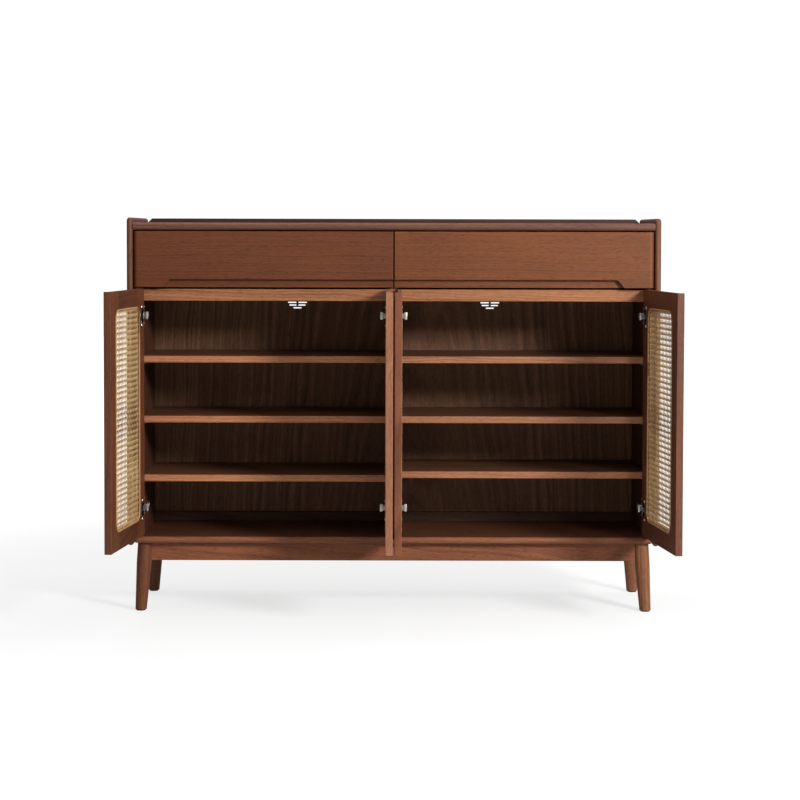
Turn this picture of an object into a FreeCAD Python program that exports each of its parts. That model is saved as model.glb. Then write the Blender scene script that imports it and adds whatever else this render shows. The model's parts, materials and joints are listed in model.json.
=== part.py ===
import FreeCAD, Part
import math
import os
from FreeCAD import Vector

# Low shoe cabinet: two drawers over four cane-panelled doors, on a framed base with turned legs.
# Millimetres. +Z is up and the front faces -Y. The origin is on the floor, under the middle of
# the end panels. The doors are drawn standing open: that is the rest pose.

# ---- overall sizes ------------------------------------------------------------------------
WIDTH = 1396.0                 # over the two end panels
DEPTH = 340.0                  # end panels, front to back
HEIGHT = 1035.0                # floor to the top of the end panels
LEG_HEIGHT = 180.0             # floor to the underside of the bottom board

# ---- boards -------------------------------------------------------------------------------
END_T = 16.0                   # end panels
INNER_T = 20.0                 # inner sides, screwed to the end panels
TOP_T = 20.0
BOTTOM_T = 18.0
SHELF_T = 18.0
DIVIDER_T = 18.0
DECK_T = 9.0                   # dust board between drawers and doors
BACK_T = 8.0
FRONT_T = 18.0                 # doors and drawer fronts
END_LIP = 13.0                 # end panels and gallery rail above the top board
END_DROP = 6.0                 # end panels below the bottom board's underside
BACK_INSET = 15.0              # back panel's rear face to the end panels' rear edge
GALLERY_T = 16.0
GALLERY_LET_IN = 4.0           # the rail stands in a rebate along the top board's rear edge
HEAD_RAIL_H = 31.0
HEAD_RAIL_T = 20.0
SKIRTING_H = 25.0
SKIRTING_T = 15.0

# ---- gaps round the fronts ----------------------------------------------------------------
FRONT_GAP = 3.0                # between the fronts and the carcass behind, and to the end panels
REVEAL = 3.5                   # between fronts, one above another, and above the bottom board
TOP_REVEAL = 2.5               # between the drawer fronts and the top board
CENTRE_GAP = 3.5               # between the two halves at the middle of the cabinet
PAIR_GAP = 3.0                 # between the two doors of a pair
BOARD_CLEAR = 1.0              # round a loose shelf

# ---- drawers ------------------------------------------------------------------------------
DRAWER_FRONT_H = 146.5
DECK_BELOW_FRONT = 5.0         # top of the deck below the drawer front's lower edge
PULL_H = 21.0                  # finger pull: a long notch in the drawer front's lower edge
PULL_DEPTH = 12.5
PULL_OUTER_MARGIN = 76.0       # from the front's outer edge to the foot of the notch's slope
PULL_SLOPE = 18.0
DRAWER_BOX_H = 110.0
DRAWER_BOX_LIFT = 16.0         # box above the deck
DRAWER_SIDE_T = 12.0
DRAWER_BOTTOM_T = 6.0
DRAWER_BOTTOM_LIFT = 6.0
DRAWER_GROOVE = 5.0
DRAWER_BACK_CLEAR = 19.0       # box to the back panel
DRAWER_TRAVEL = 250.0

# ---- drawer runners, one each side: outer member, middle member, inner member --------------
RUNNER_SPACE = 13.0            # between carcass and drawer side
RUNNER_H = 45.0
RUNNER_SHEET = 1.2
RUNNER_SETBACK = 2.0           # behind the carcass front edge
RUNNER_REAR_CLEAR = 24.0
RUNNER_NEST = 2.1              # each member's height is smaller by twice this
RUNNER_PLAY = 1.0              # between the members across the drawer
RUNNER_MIDDLE_SHORTER = 20.0

# ---- doors --------------------------------------------------------------------------------
CUP_TO_LEDGE = 6.5             # hinge cup's rim to the seat of the cane
RAIL_W = 50.0
OPENING_R = 24.0
LEDGE = 5.0                    # seat for the cane, cut from the inner face
LEDGE_DEPTH = 5.0
CANE_T = 2.0
SPLINE_PROUD = 0.6
COVE_R = 8.0                   # finger cove along the door's top outer edge
COVE_END = 12.0                # it stops this far short of the door's sides
EDGE_R = 1.5
OUTER_EDGE_R = 10.0            # rounded outer corner of the drawer fronts and outer doors
OUTER_OPEN = 97.0              # degrees that the outer doors stand open at rest
CENTRE_OPEN = 90.0
OUTER_PIVOT = (9.0, 2.0)       # hinge centre: in from the door's edge, in from its outer face
CENTRE_PIVOT = (4.0, 3.75)

# ---- concealed hinges ---------------------------------------------------------------------
HINGE_IN_BAY = 0.45            # hinge centre above the door's edge, as a share of the shelf pitch
CUP_R = 17.5
CUP_DEPTH = 11.5
CUP_WALL = 1.0
CUP_TAB = 4.5                  # door's hinge edge to the cup's bore
FLANGE_T = 1.2
FLANGE_H = 62.0
FLANGE_W = 19.0
CUP_SCREW_PITCH = 48.0
CUP_SCREW_OFFSET = 9.5         # screws further from the edge than the cup centre
STRAP_H = 14.0
STRAP_T = 1.9
OUTER_STRAP = (4.2, 16.5)      # strap's ends, from the door's edge
CENTRE_STRAP = (0.7, 11.5)
ARM_H = 15.0
ARM_PLATE_T = 2.0
ARM_TALL = 11.0
ARM_START = 10.0               # from the carcass front edge back to where the arm lifts off
ARM_END = 60.0
ARM_TIP = (8.5, 15.0)          # arm's tip, off the board
ARM_REACH = 2.4                # tip in front of the carcass front edge
WING_H = 56.0
WING_W = 14.0
WING_FROM_FRONT = 37.0
WING_SCREW_PITCH = 42.0

# ---- legs and base frame ------------------------------------------------------------------
LEG_INSET = (43.5, 35.0)       # leg's top axis in from the end panel's outer face and the front
LEG_TOP_R = 19.5
LEG_FOOT_R = 14.75
LEG_STRAIGHT = 56.0            # length of the leg's upper part before it tapers
LEG_SPLAY = (11.0, 11.0)       # foot further out than the top, in X and Y
GLIDE_T = 3.0
GLIDE_R = 12.0
BOLT_R = 4.0
BOLT_IN_LEG = 32.0
BOLT_IN_BOARD = 12.0
APRON_H = 48.0
APRON_T = 18.0

# ---- shelves, vents and fasteners ---------------------------------------------------------
SHELVES = ("low", "mid", "high")
TOP_BAY_EXTRA = 5.0            # the top bay is this much taller than the others
LOW_SHELF_LIFT = {"left": 2.5, "right": 12.5}
SHELF_SETBACK = 4.0
SHELF_EDGE_R = 2.0
PIN_R = 2.5
PIN_IN = 8.0
PIN_OUT = 8.0
PIN_INSET = 37.0               # pin lines in from the carcass front and from the back panel
PIN_STEP = 32.0
VENT_R = 27.2
VENT_FROM_DIVIDER = 257.5
VENT_TOP_MARGIN = 0.9
VENT_PITCH = 7.5
VENT_SLOT_H = 3.6
VENT_END_SHORT = 4.0           # the first and last rows stop this much inside the circle
VENT_BRIDGE = 5.0
SCREW_R = 1.75
SCREW_HEAD_R = 3.5
SCREW_HEAD_T = 1.5
BACK_SCREW_L = 20.0
CUP_SCREW_L = 11.0
ARM_SCREW_L = 10.0             # short enough not to meet its opposite number in the divider
CASE_SCREW_R = 2.5
CASE_SCREW_L = 45.0
CASE_SCREW_HEAD_R = 5.0
CASE_SCREW_INSET = 45.0

# ---- places worked out from the sizes above -------------------------------------------------
SIGN = {"left": -1.0, "right": 1.0}
HALF = WIDTH / 2
X_END = HALF - END_T                           # end panel's inner face
X_INNER = X_END - INNER_T                      # inner side's inner face
X_DIVIDER = DIVIDER_T / 2
Y_FRONT = -DEPTH / 2
Y_REAR = DEPTH / 2
Y_CARCASS = Y_FRONT + FRONT_T + FRONT_GAP      # front edge of the inner boards
Y_BACK = Y_REAR - BACK_INSET - BACK_T          # front face of the back panel
Z_BASE = LEG_HEIGHT
Z_FLOOR = Z_BASE + BOTTOM_T                    # floor of the compartments
Z_TOP = HEIGHT - END_LIP
Z_CEILING = Z_TOP - TOP_T
Z_DRAWER_TOP = Z_CEILING - TOP_REVEAL
Z_DRAWER = Z_DRAWER_TOP - DRAWER_FRONT_H
Z_DECK = Z_DRAWER - DECK_BELOW_FRONT
Z_DECK_UNDER = Z_DECK - DECK_T
Z_RAIL = Z_DECK - HEAD_RAIL_H
Z_DOOR_TOP = Z_DRAWER - REVEAL
Z_DOOR = Z_FLOOR + REVEAL
X_FRONTS = X_END - FRONT_GAP                   # outer edge of the fronts
DOOR_W = (X_FRONTS - CENTRE_GAP / 2 - PAIR_GAP) / 2
DOOR_H = Z_DOOR_TOP - Z_DOOR
SHELF_PITCH = (Z_RAIL - Z_FLOOR + SHELF_T - TOP_BAY_EXTRA) / (len(SHELVES) + 1)
HINGE_FROM_END = HINGE_IN_BAY * SHELF_PITCH    # keeps the hinges clear of the shelves
HINGE_HEIGHTS = (Z_DOOR + HINGE_FROM_END, Z_DOOR_TOP - HINGE_FROM_END)
CUP_FROM_EDGE = CUP_TAB + CUP_R                # cup centre to the door's hinge edge
OPENING_MARGIN = CUP_FROM_EDGE + CUP_R + CUP_WALL + CUP_TO_LEDGE + LEDGE    # door's side to its opening
STILE_W = OPENING_MARGIN + OPENING_R           # board width; the opening is cut into it
Y_DRAWER_REAR = Y_BACK - DRAWER_BACK_CLEAR
Z_BOX = Z_DECK + DRAWER_BOX_LIFT
Z_RUNNER = Z_BOX + DRAWER_BOX_H / 2
VENT_X = X_DIVIDER + VENT_FROM_DIVIDER
VENT_ROWS = 3                                  # rows of slots above and below the middle row
VENT_Z = Z_DECK_UNDER - VENT_R - VENT_TOP_MARGIN
BIG = 2000.0


# ---- helpers --------------------------------------------------------------------------------
def block(low, high):
    """Box between two corners, given in any order."""
    lo = [min(a, b) for a, b in zip(low, high)]
    hi = [max(a, b) for a, b in zip(low, high)]
    return Part.makeBox(hi[0] - lo[0], hi[1] - lo[1], hi[2] - lo[2], Vector(*lo))


def rod(radius, start, direction, length):
    return Part.makeCylinder(radius, length, Vector(*start), Vector(*direction))


def on_side(shape, side):
    """A shape drawn for the left half, as it is or mirrored to the right half."""
    if side == "left":
        return shape
    return shape.mirror(Vector(0, 0, 0), Vector(1, 0, 0))


def edges_where(shape, test):
    """Edges whose two end points both pass the test."""
    found = []
    for edge in shape.Edges:
        if all(test(v.Point) for v in edge.Vertexes):
            found.append(edge)
    return found


def near(a, b):
    return abs(a - b) < 1e-4


def joined(shapes):
    """One solid from overlapping or touching shapes."""
    return shapes[0].multiFuse(shapes[1:]).removeSplitter()


def without(shape, tools):
    if not tools:
        return shape
    return shape.cut(tools)


def rounded_frame(u0, u1, z0, z1, radius, y0, y1):
    """Prism across the door's thickness whose outline is a rectangle with round corners."""
    shape = block((u0, y0, z0), (u1, y1, z1))
    corners = [e for e in shape.Edges if near(abs(e.tangentAt(e.FirstParameter).y), 1.0)]
    return shape.makeFillet(radius, corners)


def screw(head_seat, direction, length, shank_r, head_r, head_t):
    """Screw whose head stands on head_seat; direction is the way it is driven."""
    aim = Vector(*direction)
    seat = Vector(*head_seat)
    head = Part.makeCylinder(head_r, head_t, seat - aim * head_t, aim)
    rim = max(head.Edges, key=lambda e: -(e.CenterOfMass - seat).dot(aim))
    head = head.makeFillet(head_t * 0.6, [rim])
    shank = Part.makeCylinder(shank_r, length, seat, aim)
    return joined([head, shank])


# ---- case -----------------------------------------------------------------------------------
def end_panel():
    """Left end panel, rounded over at the front, the top and the bottom."""
    board = block((-HALF, Y_FRONT, Z_BASE - END_DROP), (-X_END, Y_REAR, HEIGHT))
    corners = edges_where(board, lambda p: near(p.y, Y_FRONT))
    corners = [e for e in corners if near(abs(e.tangentAt(e.FirstParameter).x), 1.0)]
    board = board.makeFillet(OUTER_EDGE_R, corners)
    around = [e for e in board.Edges if not near(e.CenterOfMass.y, Y_REAR)
              and not near(abs(e.tangentAt(e.FirstParameter).x), 1.0)]
    return board.makeFillet(END_T * 0.48, around)


def top_board():
    board = block((-X_END, Y_FRONT, Z_CEILING), (X_END, Y_REAR, Z_TOP))
    board = board.makeFillet(TOP_T * 0.48, front_edges(board))
    rebate = block((-X_END, Y_REAR - GALLERY_T, Z_TOP - GALLERY_LET_IN), (X_END, Y_REAR, Z_TOP))
    return board.cut(rebate)


def front_edges(board):
    """The two long edges of a board's front."""
    return [e for e in edges_where(board, lambda p: near(p.y, Y_FRONT))
            if near(abs(e.tangentAt(e.FirstParameter).x), 1.0)]


def gallery_rail():
    """Low rail along the back of the top, with its ends cut down at 45 degrees."""
    outline = [(-X_END, Z_TOP - GALLERY_LET_IN), (-X_END, Z_TOP), (-X_END + END_LIP, HEIGHT),
               (X_END - END_LIP, HEIGHT), (X_END, Z_TOP), (X_END, Z_TOP - GALLERY_LET_IN)]
    points = [Vector(x, Y_REAR, z) for x, z in outline]
    face = Part.Face(Part.makePolygon(points + points[:1]))
    rail = face.extrude(Vector(0, -GALLERY_T, 0))
    top = [e for e in edges_where(rail, lambda p: near(p.z, HEIGHT)) if e.Length > END_LIP * 2]
    return rail.makeFillet(EDGE_R, top)


def bottom_board():
    """Floor of the compartments; its rounded nose runs forward under the doors."""
    board = block((-X_END, Y_FRONT, Z_BASE), (X_END, Y_BACK, Z_FLOOR))
    corners = [e for e in edges_where(board, lambda p: near(p.y, Y_FRONT))
               if near(abs(e.tangentAt(e.FirstParameter).z), 1.0)]
    board = board.makeFillet(OUTER_EDGE_R, corners)
    nose = [e for e in board.Edges if e.CenterOfMass.y < Y_FRONT + OUTER_EDGE_R * 0.8
            and not near(abs(e.tangentAt(e.FirstParameter).z), 1.0)]
    return board.makeFillet(BOTTOM_T * 0.48, nose)


def inner_side():
    return block((-X_END, Y_CARCASS, Z_FLOOR), (-X_INNER, Y_BACK, Z_CEILING))


def centre_divider():
    board = block((-X_DIVIDER, Y_CARCASS, Z_FLOOR), (X_DIVIDER, Y_BACK, Z_DECK_UNDER))
    return board.cut(door_head_rail())


def drawer_divider():
    return block((-X_DIVIDER, Y_CARCASS, Z_DECK), (X_DIVIDER, Y_BACK, Z_CEILING))


def door_head_rail():
    rail = block((-X_INNER, Y_CARCASS, Z_RAIL), (X_INNER, Y_CARCASS + HEAD_RAIL_T, Z_DECK))
    edges = [e for e in edges_where(rail, lambda p: near(p.y, Y_CARCASS) and near(p.z, Z_RAIL))]
    return rail.makeFillet(EDGE_R, edges)


def drawer_deck():
    front = Y_CARCASS + HEAD_RAIL_T
    return block((-X_INNER, front, Z_DECK_UNDER), (X_INNER, Y_BACK, Z_DECK))


def vent_slots(side):
    """Round grid of slots; each row but the first and the last is split by a bridge."""
    centre = SIGN[side] * VENT_X
    slots = []
    for row in range(-VENT_ROWS, VENT_ROWS + 1):
        z = VENT_Z + row * VENT_PITCH
        reach = math.sqrt(VENT_R ** 2 - (row * VENT_PITCH) ** 2)
        if abs(row) == VENT_ROWS:
            reach -= VENT_END_SHORT
            spans = [(-reach, reach)]
        else:
            spans = [(-reach, -VENT_BRIDGE / 2), (VENT_BRIDGE / 2, reach)]
        for a, b in spans:
            slot = block((centre + a, Y_BACK, z - VENT_SLOT_H / 2),
                         (centre + b, Y_BACK + BACK_T, z + VENT_SLOT_H / 2))
            ends = [e for e in slot.Edges if near(abs(e.tangentAt(e.FirstParameter).y), 1.0)]
            slots.append(slot.makeFillet(VENT_SLOT_H * 0.48, ends))
    return slots


def back_panel():
    reach = X_END - BOARD_CLEAR / 2
    panel = block((-reach, Y_BACK, Z_BASE + END_DROP / 2), (reach, Y_BACK + BACK_T, Z_CEILING))
    return panel.cut(vent_slots("left") + vent_slots("right"))


def back_skirting():
    strip = block((-X_INNER, Y_BACK - SKIRTING_T, Z_FLOOR), (-X_DIVIDER, Y_BACK, Z_FLOOR + SKIRTING_H))
    return [on_side(strip, side) for side in SIGN]


# ---- shelves --------------------------------------------------------------------------------
def shelf_top(side, level):
    lift = LOW_SHELF_LIFT[side] if level == 0 else 0.0
    return Z_FLOOR + (level + 1) * SHELF_PITCH + lift


def shelf(side, level):
    top = shelf_top(side, level)
    board = block((-X_INNER + BOARD_CLEAR, Y_CARCASS + SHELF_SETBACK, top - SHELF_T),
                  (-X_DIVIDER - BOARD_CLEAR, Y_BACK - BOARD_CLEAR, top))
    board = board.makeFillet(SHELF_EDGE_R, edges_where(board, lambda p: p.y < 0))
    return on_side(board, side)


def pin_lines():
    return (Y_CARCASS + PIN_INSET, Y_BACK - PIN_INSET)


def pin_height(side, level):
    return shelf_top(side, level) - SHELF_T - PIN_R


def shelf_pins():
    pins = []
    for side in SIGN:
        for level in range(len(SHELVES)):
            z = pin_height(side, level)
            for y in pin_lines():
                outer = rod(PIN_R, (-X_INNER - PIN_IN, y, z), (1, 0, 0), PIN_IN + PIN_OUT)
                inner = rod(PIN_R, (-X_DIVIDER - PIN_OUT, y, z), (1, 0, 0), PIN_IN + PIN_OUT)
                pins += [on_side(outer, side), on_side(inner, side)]
    return pins


def pin_holes(side, board):
    """Three holes at each pin: the one in use, one step above and one step below."""
    holes = []
    for level in range(len(SHELVES)):
        for y in pin_lines():
            for step in (-PIN_STEP, 0.0, PIN_STEP):
                z = pin_height(side, level) + step
                if board == "inner_side":
                    hole = rod(PIN_R, (-X_INNER - PIN_IN, y, z), (1, 0, 0), PIN_IN)
                else:
                    hole = rod(PIN_R, (-X_DIVIDER, y, z), (1, 0, 0), PIN_IN)
                holes.append(on_side(hole, side))
    return holes


# ---- base -----------------------------------------------------------------------------------
def leg_axis(front):
    """Top and foot points of a left leg's axis; front is -1 for the front legs."""
    y = front * (DEPTH / 2 - LEG_INSET[1])
    top = Vector(-HALF + LEG_INSET[0], y, Z_BASE)
    foot = Vector(top.x - LEG_SPLAY[0], y + front * LEG_SPLAY[1], 0)
    return top, foot


def leg(side, front):
    """Turned leg: straight below the board, then tapering to the foot, cut level at both ends."""
    top, foot = leg_axis(front)
    down = (foot - top).normalize()
    over = LEG_TOP_R
    straight = Part.makeCylinder(LEG_TOP_R, LEG_STRAIGHT + over, top - down * over, down)
    taper_start = top + down * LEG_STRAIGHT
    taper_length = (foot - taper_start).Length
    taper = Part.makeCone(LEG_TOP_R, LEG_FOOT_R, taper_length, taper_start, down)
    below = Part.makeCylinder(LEG_FOOT_R, over, foot, down)
    turned = joined([straight, taper, below])
    keep = block((-BIG, -BIG, GLIDE_T), (BIG, BIG, Z_BASE))
    return on_side(turned.common(keep), side)


def foot_glide(side, front):
    foot = leg_axis(front)[1]
    glide = rod(GLIDE_R, (foot.x, foot.y, 0), (0, 0, 1), GLIDE_T)
    return on_side(glide, side)


def leg_bolt(side, front):
    """Hanger bolt along the leg's axis, half in the leg and half in the bottom board."""
    top, foot = leg_axis(front)
    down = (foot - top).normalize()
    bolt = Part.makeCylinder(BOLT_R, BOLT_IN_LEG + BOLT_IN_BOARD, top - down * BOLT_IN_BOARD, down)
    return on_side(bolt, side)


def aprons(legs):
    """Front, rear and end aprons between the legs, coped round them."""
    top, _ = leg_axis(-1)
    half_t = APRON_T / 2
    z0 = Z_BASE - APRON_H
    long_rail = block((top.x, top.y - half_t, z0), (-top.x, top.y + half_t, Z_BASE))
    end_rail = block((top.x - half_t, top.y, z0), (top.x + half_t, -top.y, Z_BASE))
    front = long_rail.cut(legs)
    rear = long_rail.mirror(Vector(0, 0, 0), Vector(0, 1, 0)).cut(legs)
    ends = [on_side(largest(end_rail.cut(legs)), side) for side in SIGN]
    return largest(front), largest(rear), ends


def largest(shape):
    """The main piece of a cut board, without offcuts beyond the legs."""
    return max(shape.Solids, key=lambda s: s.Volume)


# ---- drawers --------------------------------------------------------------------------------
def drawer_front():
    """Left drawer front with the finger pull cut into its lower edge."""
    board = block((-X_FRONTS, Y_FRONT, Z_DRAWER), (-CENTRE_GAP / 2, Y_FRONT + FRONT_T, Z_DRAWER_TOP))
    outer = edges_where(board, lambda p: near(p.x, -X_FRONTS) and near(p.y, Y_FRONT))
    board = board.makeFillet(OUTER_EDGE_R, outer)
    face = edges_where(board, lambda p: near(p.y, Y_FRONT))
    board = board.makeFillet(EDGE_R, face)
    foot = -X_FRONTS + PULL_OUTER_MARGIN
    points = [Vector(foot, Y_FRONT, Z_DRAWER - 1), Vector(foot + PULL_SLOPE, Y_FRONT, Z_DRAWER + PULL_H),
              Vector(0, Y_FRONT, Z_DRAWER + PULL_H), Vector(0, Y_FRONT, Z_DRAWER - 1)]
    notch = Part.Face(Part.makePolygon(points + points[:1]))
    return board.cut(notch.extrude(Vector(0, PULL_DEPTH, 0)))


def drawer_box():
    """Two sides, a back and a bottom let into grooves in all of them."""
    x0 = -X_INNER + RUNNER_SPACE
    x1 = -X_DIVIDER - RUNNER_SPACE
    y0 = Y_FRONT + FRONT_T
    z1 = Z_BOX + DRAWER_BOX_H
    z_bottom = Z_BOX + DRAWER_BOTTOM_LIFT
    t = DRAWER_SIDE_T
    bottom = block((x0 + t - DRAWER_GROOVE, y0, z_bottom),
                   (x1 - t + DRAWER_GROOVE, Y_DRAWER_REAR - t + DRAWER_GROOVE, z_bottom + DRAWER_BOTTOM_T))
    sides = [block((x0, y0, Z_BOX), (x0 + t, Y_DRAWER_REAR, z1)),
             block((x1 - t, y0, Z_BOX), (x1, Y_DRAWER_REAR, z1))]
    sides = [s.makeFillet(EDGE_R, top_edges(s, z1)) for s in sides]
    back = block((x0 + t, Y_DRAWER_REAR - t, Z_BOX), (x1 - t, Y_DRAWER_REAR, z1))
    return [sides[0].cut(bottom), sides[1].cut(bottom), back.cut(bottom), bottom]


def top_edges(board, z):
    return [e for e in edges_where(board, lambda p: near(p.z, z))
            if near(abs(e.tangentAt(e.FirstParameter).y), 1.0)]


def channel(x0, x1, web_at, half_h, y0, y1):
    """Runner member: a web at x0 or x1 and two flanges, along Y."""
    low, high = min(x0, x1), max(x0, x1)
    sheet = RUNNER_SHEET
    whole = block((low, y0, Z_RUNNER - half_h), (high, y1, Z_RUNNER + half_h))
    if near(web_at, low):
        hollow = (low + sheet, high + sheet)
    else:
        hollow = (low - sheet, high - sheet)
    inside = block((hollow[0], y0 - 1, Z_RUNNER - half_h + sheet),
                   (hollow[1], y1 + 1, Z_RUNNER + half_h - sheet))
    return whole.cut(inside)


def runner_members(face, inward):
    """Outer, middle and inner member of one runner on a board face; inward is into the drawer space."""
    y0 = Y_CARCASS + RUNNER_SETBACK
    y1 = Y_BACK - RUNNER_REAR_CLEAR
    half = RUNNER_H / 2
    play = RUNNER_PLAY + RUNNER_SHEET
    outer_tip = RUNNER_SPACE - RUNNER_SHEET - 2 * RUNNER_PLAY - RUNNER_SHEET
    outer = channel(face, face + inward * outer_tip, face, half, y0, y1)
    middle_web = face + inward * play
    middle_tip = face + inward * (RUNNER_SPACE - play)
    middle = channel(middle_web, middle_tip, middle_web, half - RUNNER_NEST,
                     y0, y1 - RUNNER_MIDDLE_SHORTER)
    inner_web = face + inward * RUNNER_SPACE
    inner_tip = face + inward * 2 * play
    inner = channel(inner_tip, inner_web, inner_web, half - 2 * RUNNER_NEST, y0, y1)
    return outer, middle, inner


def runner_set(side):
    """All members of the runners either side of one drawer, as three lists."""
    left = runner_members(-X_INNER, 1.0)
    right = runner_members(-X_DIVIDER, -1.0)
    return [[on_side(a, side), on_side(b, side)] for a, b in zip(left, right)]


# ---- doors: drawn closed on the left half, then turned about the hinge centre ----------------
def door_layout(which):
    """Hinge edge, sign from that edge across the door, hinge centre and opening angle."""
    if which == "outer":
        edge = -X_FRONTS
        across = 1.0
        pivot, strap = OUTER_PIVOT, OUTER_STRAP
        angle = -OUTER_OPEN
    else:
        edge = -CENTRE_GAP / 2
        across = -1.0
        pivot, strap = CENTRE_PIVOT, CENTRE_STRAP
        angle = CENTRE_OPEN
    centre = Vector(edge + across * pivot[0], Y_FRONT + pivot[1], 0)
    return edge, across, centre, angle, strap


def swing(shape, which, side):
    _, _, centre, angle, _ = door_layout(which)
    turned = shape.copy()
    turned.rotate(centre, Vector(0, 0, 1), angle)
    return on_side(turned, side)


def door_slab(which):
    """The door's outline with its rounded edges and the finger cove along the top."""
    edge, across, _, _, _ = door_layout(which)
    slab = block((edge, Y_FRONT, Z_DOOR), (edge + across * DOOR_W, Y_FRONT + FRONT_T, Z_DOOR_TOP))
    if which == "outer":
        corner = edges_where(slab, lambda p: near(p.x, edge) and near(p.y, Y_FRONT))
        slab = slab.makeFillet(OUTER_EDGE_R, corner)
    rims = edges_where(slab, lambda p: near(p.y, Y_FRONT) or near(p.y, Y_FRONT + FRONT_T))
    rims = [e for e in rims if not near(abs(e.tangentAt(e.FirstParameter).y), 1.0)]
    if which == "outer":
        rims = [e for e in rims if e.CenterOfMass.y > Y_FRONT + FRONT_T / 2]
    slab = slab.makeFillet(EDGE_R, rims)
    start = edge + across * COVE_END
    cove = rod(COVE_R, (start, Y_FRONT, Z_DOOR_TOP), (across, 0, 0), DOOR_W - 2 * COVE_END)
    return slab.cut(cove)


def door_opening(which, grow, y0, y1):
    """Prism with the opening's outline, wider by grow all round."""
    edge, across, _, _, _ = door_layout(which)
    a = edge + across * (OPENING_MARGIN - grow)
    b = edge + across * (DOOR_W - OPENING_MARGIN + grow)
    return rounded_frame(a, b, Z_DOOR + RAIL_W - grow, Z_DOOR_TOP - RAIL_W + grow, OPENING_R + grow, y0, y1)


def door_frame(which):
    """Frame with its opening, the ledge for the cane and the cup bores, split into four boards."""
    edge, across, _, _, _ = door_layout(which)
    y_in = Y_FRONT + FRONT_T
    whole = door_slab(which).cut(door_opening(which, 0.0, Y_FRONT - 1, y_in + 1))
    whole = whole.cut(door_opening(which, LEDGE, y_in - LEDGE_DEPTH, y_in + 1))
    bores = [rod(CUP_R, (edge + across * CUP_FROM_EDGE, y_in - CUP_DEPTH, z), (0, 1, 0), CUP_DEPTH)
             for z in HINGE_HEIGHTS]
    holes = [s for z in HINGE_HEIGHTS for s in cup_screws(which, z)]
    whole = whole.cut(bores + holes)
    first = edge + across * STILE_W
    last = edge + across * (DOOR_W - STILE_W)
    end = edge + across * DOOR_W
    stiles = [whole.common(block((edge, -BIG, 0), (first, BIG, BIG))),
              whole.common(block((last, -BIG, 0), (end, BIG, BIG)))]
    middle = Z_DOOR + DOOR_H / 2
    rails = [whole.common(block((first, -BIG, 0), (last, BIG, middle))),
             whole.common(block((first, -BIG, middle), (last, BIG, BIG)))]
    return [largest(s) for s in stiles], [largest(r) for r in rails]


def cane_panel(which):
    y_seat = Y_FRONT + FRONT_T - LEDGE_DEPTH
    return door_opening(which, LEDGE, y_seat, y_seat + CANE_T)


def cane_spline(which):
    """Reed pressed over the cane's edge, standing slightly proud of the inner face."""
    y0 = Y_FRONT + FRONT_T - LEDGE_DEPTH + CANE_T
    y1 = Y_FRONT + FRONT_T + SPLINE_PROUD
    outer = door_opening(which, LEDGE, y0, y1)
    return outer.cut(door_opening(which, 0.0, y0 - 1, y1 + 1))


def cup_screws(which, z):
    edge, across, _, _, _ = door_layout(which)
    x = edge + across * (CUP_FROM_EDGE + CUP_SCREW_OFFSET)
    seat = Y_FRONT + FRONT_T + FLANGE_T
    return [screw((x, seat, z + s * CUP_SCREW_PITCH / 2), (0, -1, 0), CUP_SCREW_L,
                  SCREW_R, SCREW_HEAD_R, SCREW_HEAD_T) for s in (-1, 1)]


def hinge_cup(which, z):
    """Cup in its bore, flange on the door's inner face and the link's strap towards the edge."""
    edge, across, _, _, strap = door_layout(which)
    y_in = Y_FRONT + FRONT_T
    x = edge + across * CUP_FROM_EDGE
    bowl = rod(CUP_R, (x, y_in - CUP_DEPTH, z), (0, 1, 0), CUP_DEPTH)
    rim = rod(CUP_R + CUP_WALL, (x, y_in, z), (0, 1, 0), FLANGE_T)
    flange_x = x + across * CUP_SCREW_OFFSET
    flange = rounded_frame(flange_x - FLANGE_W / 2, flange_x + FLANGE_W / 2, z - FLANGE_H / 2,
                           z + FLANGE_H / 2, SCREW_HEAD_R + 1.5, y_in, y_in + FLANGE_T)
    hollow = rod(CUP_R - CUP_WALL, (x, y_in - CUP_DEPTH + CUP_WALL, z), (0, 1, 0), CUP_DEPTH + FLANGE_T)
    cup = joined([bowl, rim, flange]).cut(hollow)
    link = block((edge + across * strap[0], y_in, z - STRAP_H / 2),
                 (edge + across * strap[1], y_in + STRAP_T, z + STRAP_H / 2))
    cup = joined([cup, link])
    screws = cup_screws(which, z)
    return [cup.cut(screws)] + screws


def hinge_arm(which, z):
    """Mounting plate with wings and the arm on it, with its two screws and adjusters."""
    if which == "outer":
        face, inward = -X_INNER, 1.0
    else:
        face, inward = -X_DIVIDER, -1.0

    def piece(p0, p1, back0, back1, half):
        return block((face + inward * p0, Y_CARCASS + back0, z - half),
                     (face + inward * p1, Y_CARCASS + back1, z + half))

    half = ARM_H / 2
    plate = piece(0, ARM_PLATE_T, ARM_START + 6, ARM_END, half - 1)
    wing = piece(0, ARM_PLATE_T, WING_FROM_FRONT - WING_W / 2, WING_FROM_FRONT + WING_W / 2, WING_H / 2)
    body = piece(ARM_PLATE_T, ARM_PLATE_T + ARM_TALL, ARM_START, ARM_END, half)
    tip = piece(ARM_TIP[0], ARM_TIP[1], -ARM_REACH, ARM_START + 4, half)
    top = face + inward * (ARM_PLATE_T + ARM_TALL)
    adjusters = [rod(SCREW_HEAD_R, (top, Y_CARCASS + back, z), (inward, 0, 0), 1.0)
                 for back in (ARM_START + 14, ARM_END - 12)]
    screws = [screw((face + inward * ARM_PLATE_T, Y_CARCASS + WING_FROM_FRONT, z + s * WING_SCREW_PITCH / 2),
                    (-inward, 0, 0), ARM_SCREW_L, SCREW_R, SCREW_HEAD_R, SCREW_HEAD_T)
              for s in (-1, 1)]
    arm = joined([plate, wing, body, tip] + adjusters).cut(screws)
    return [arm] + screws


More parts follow.
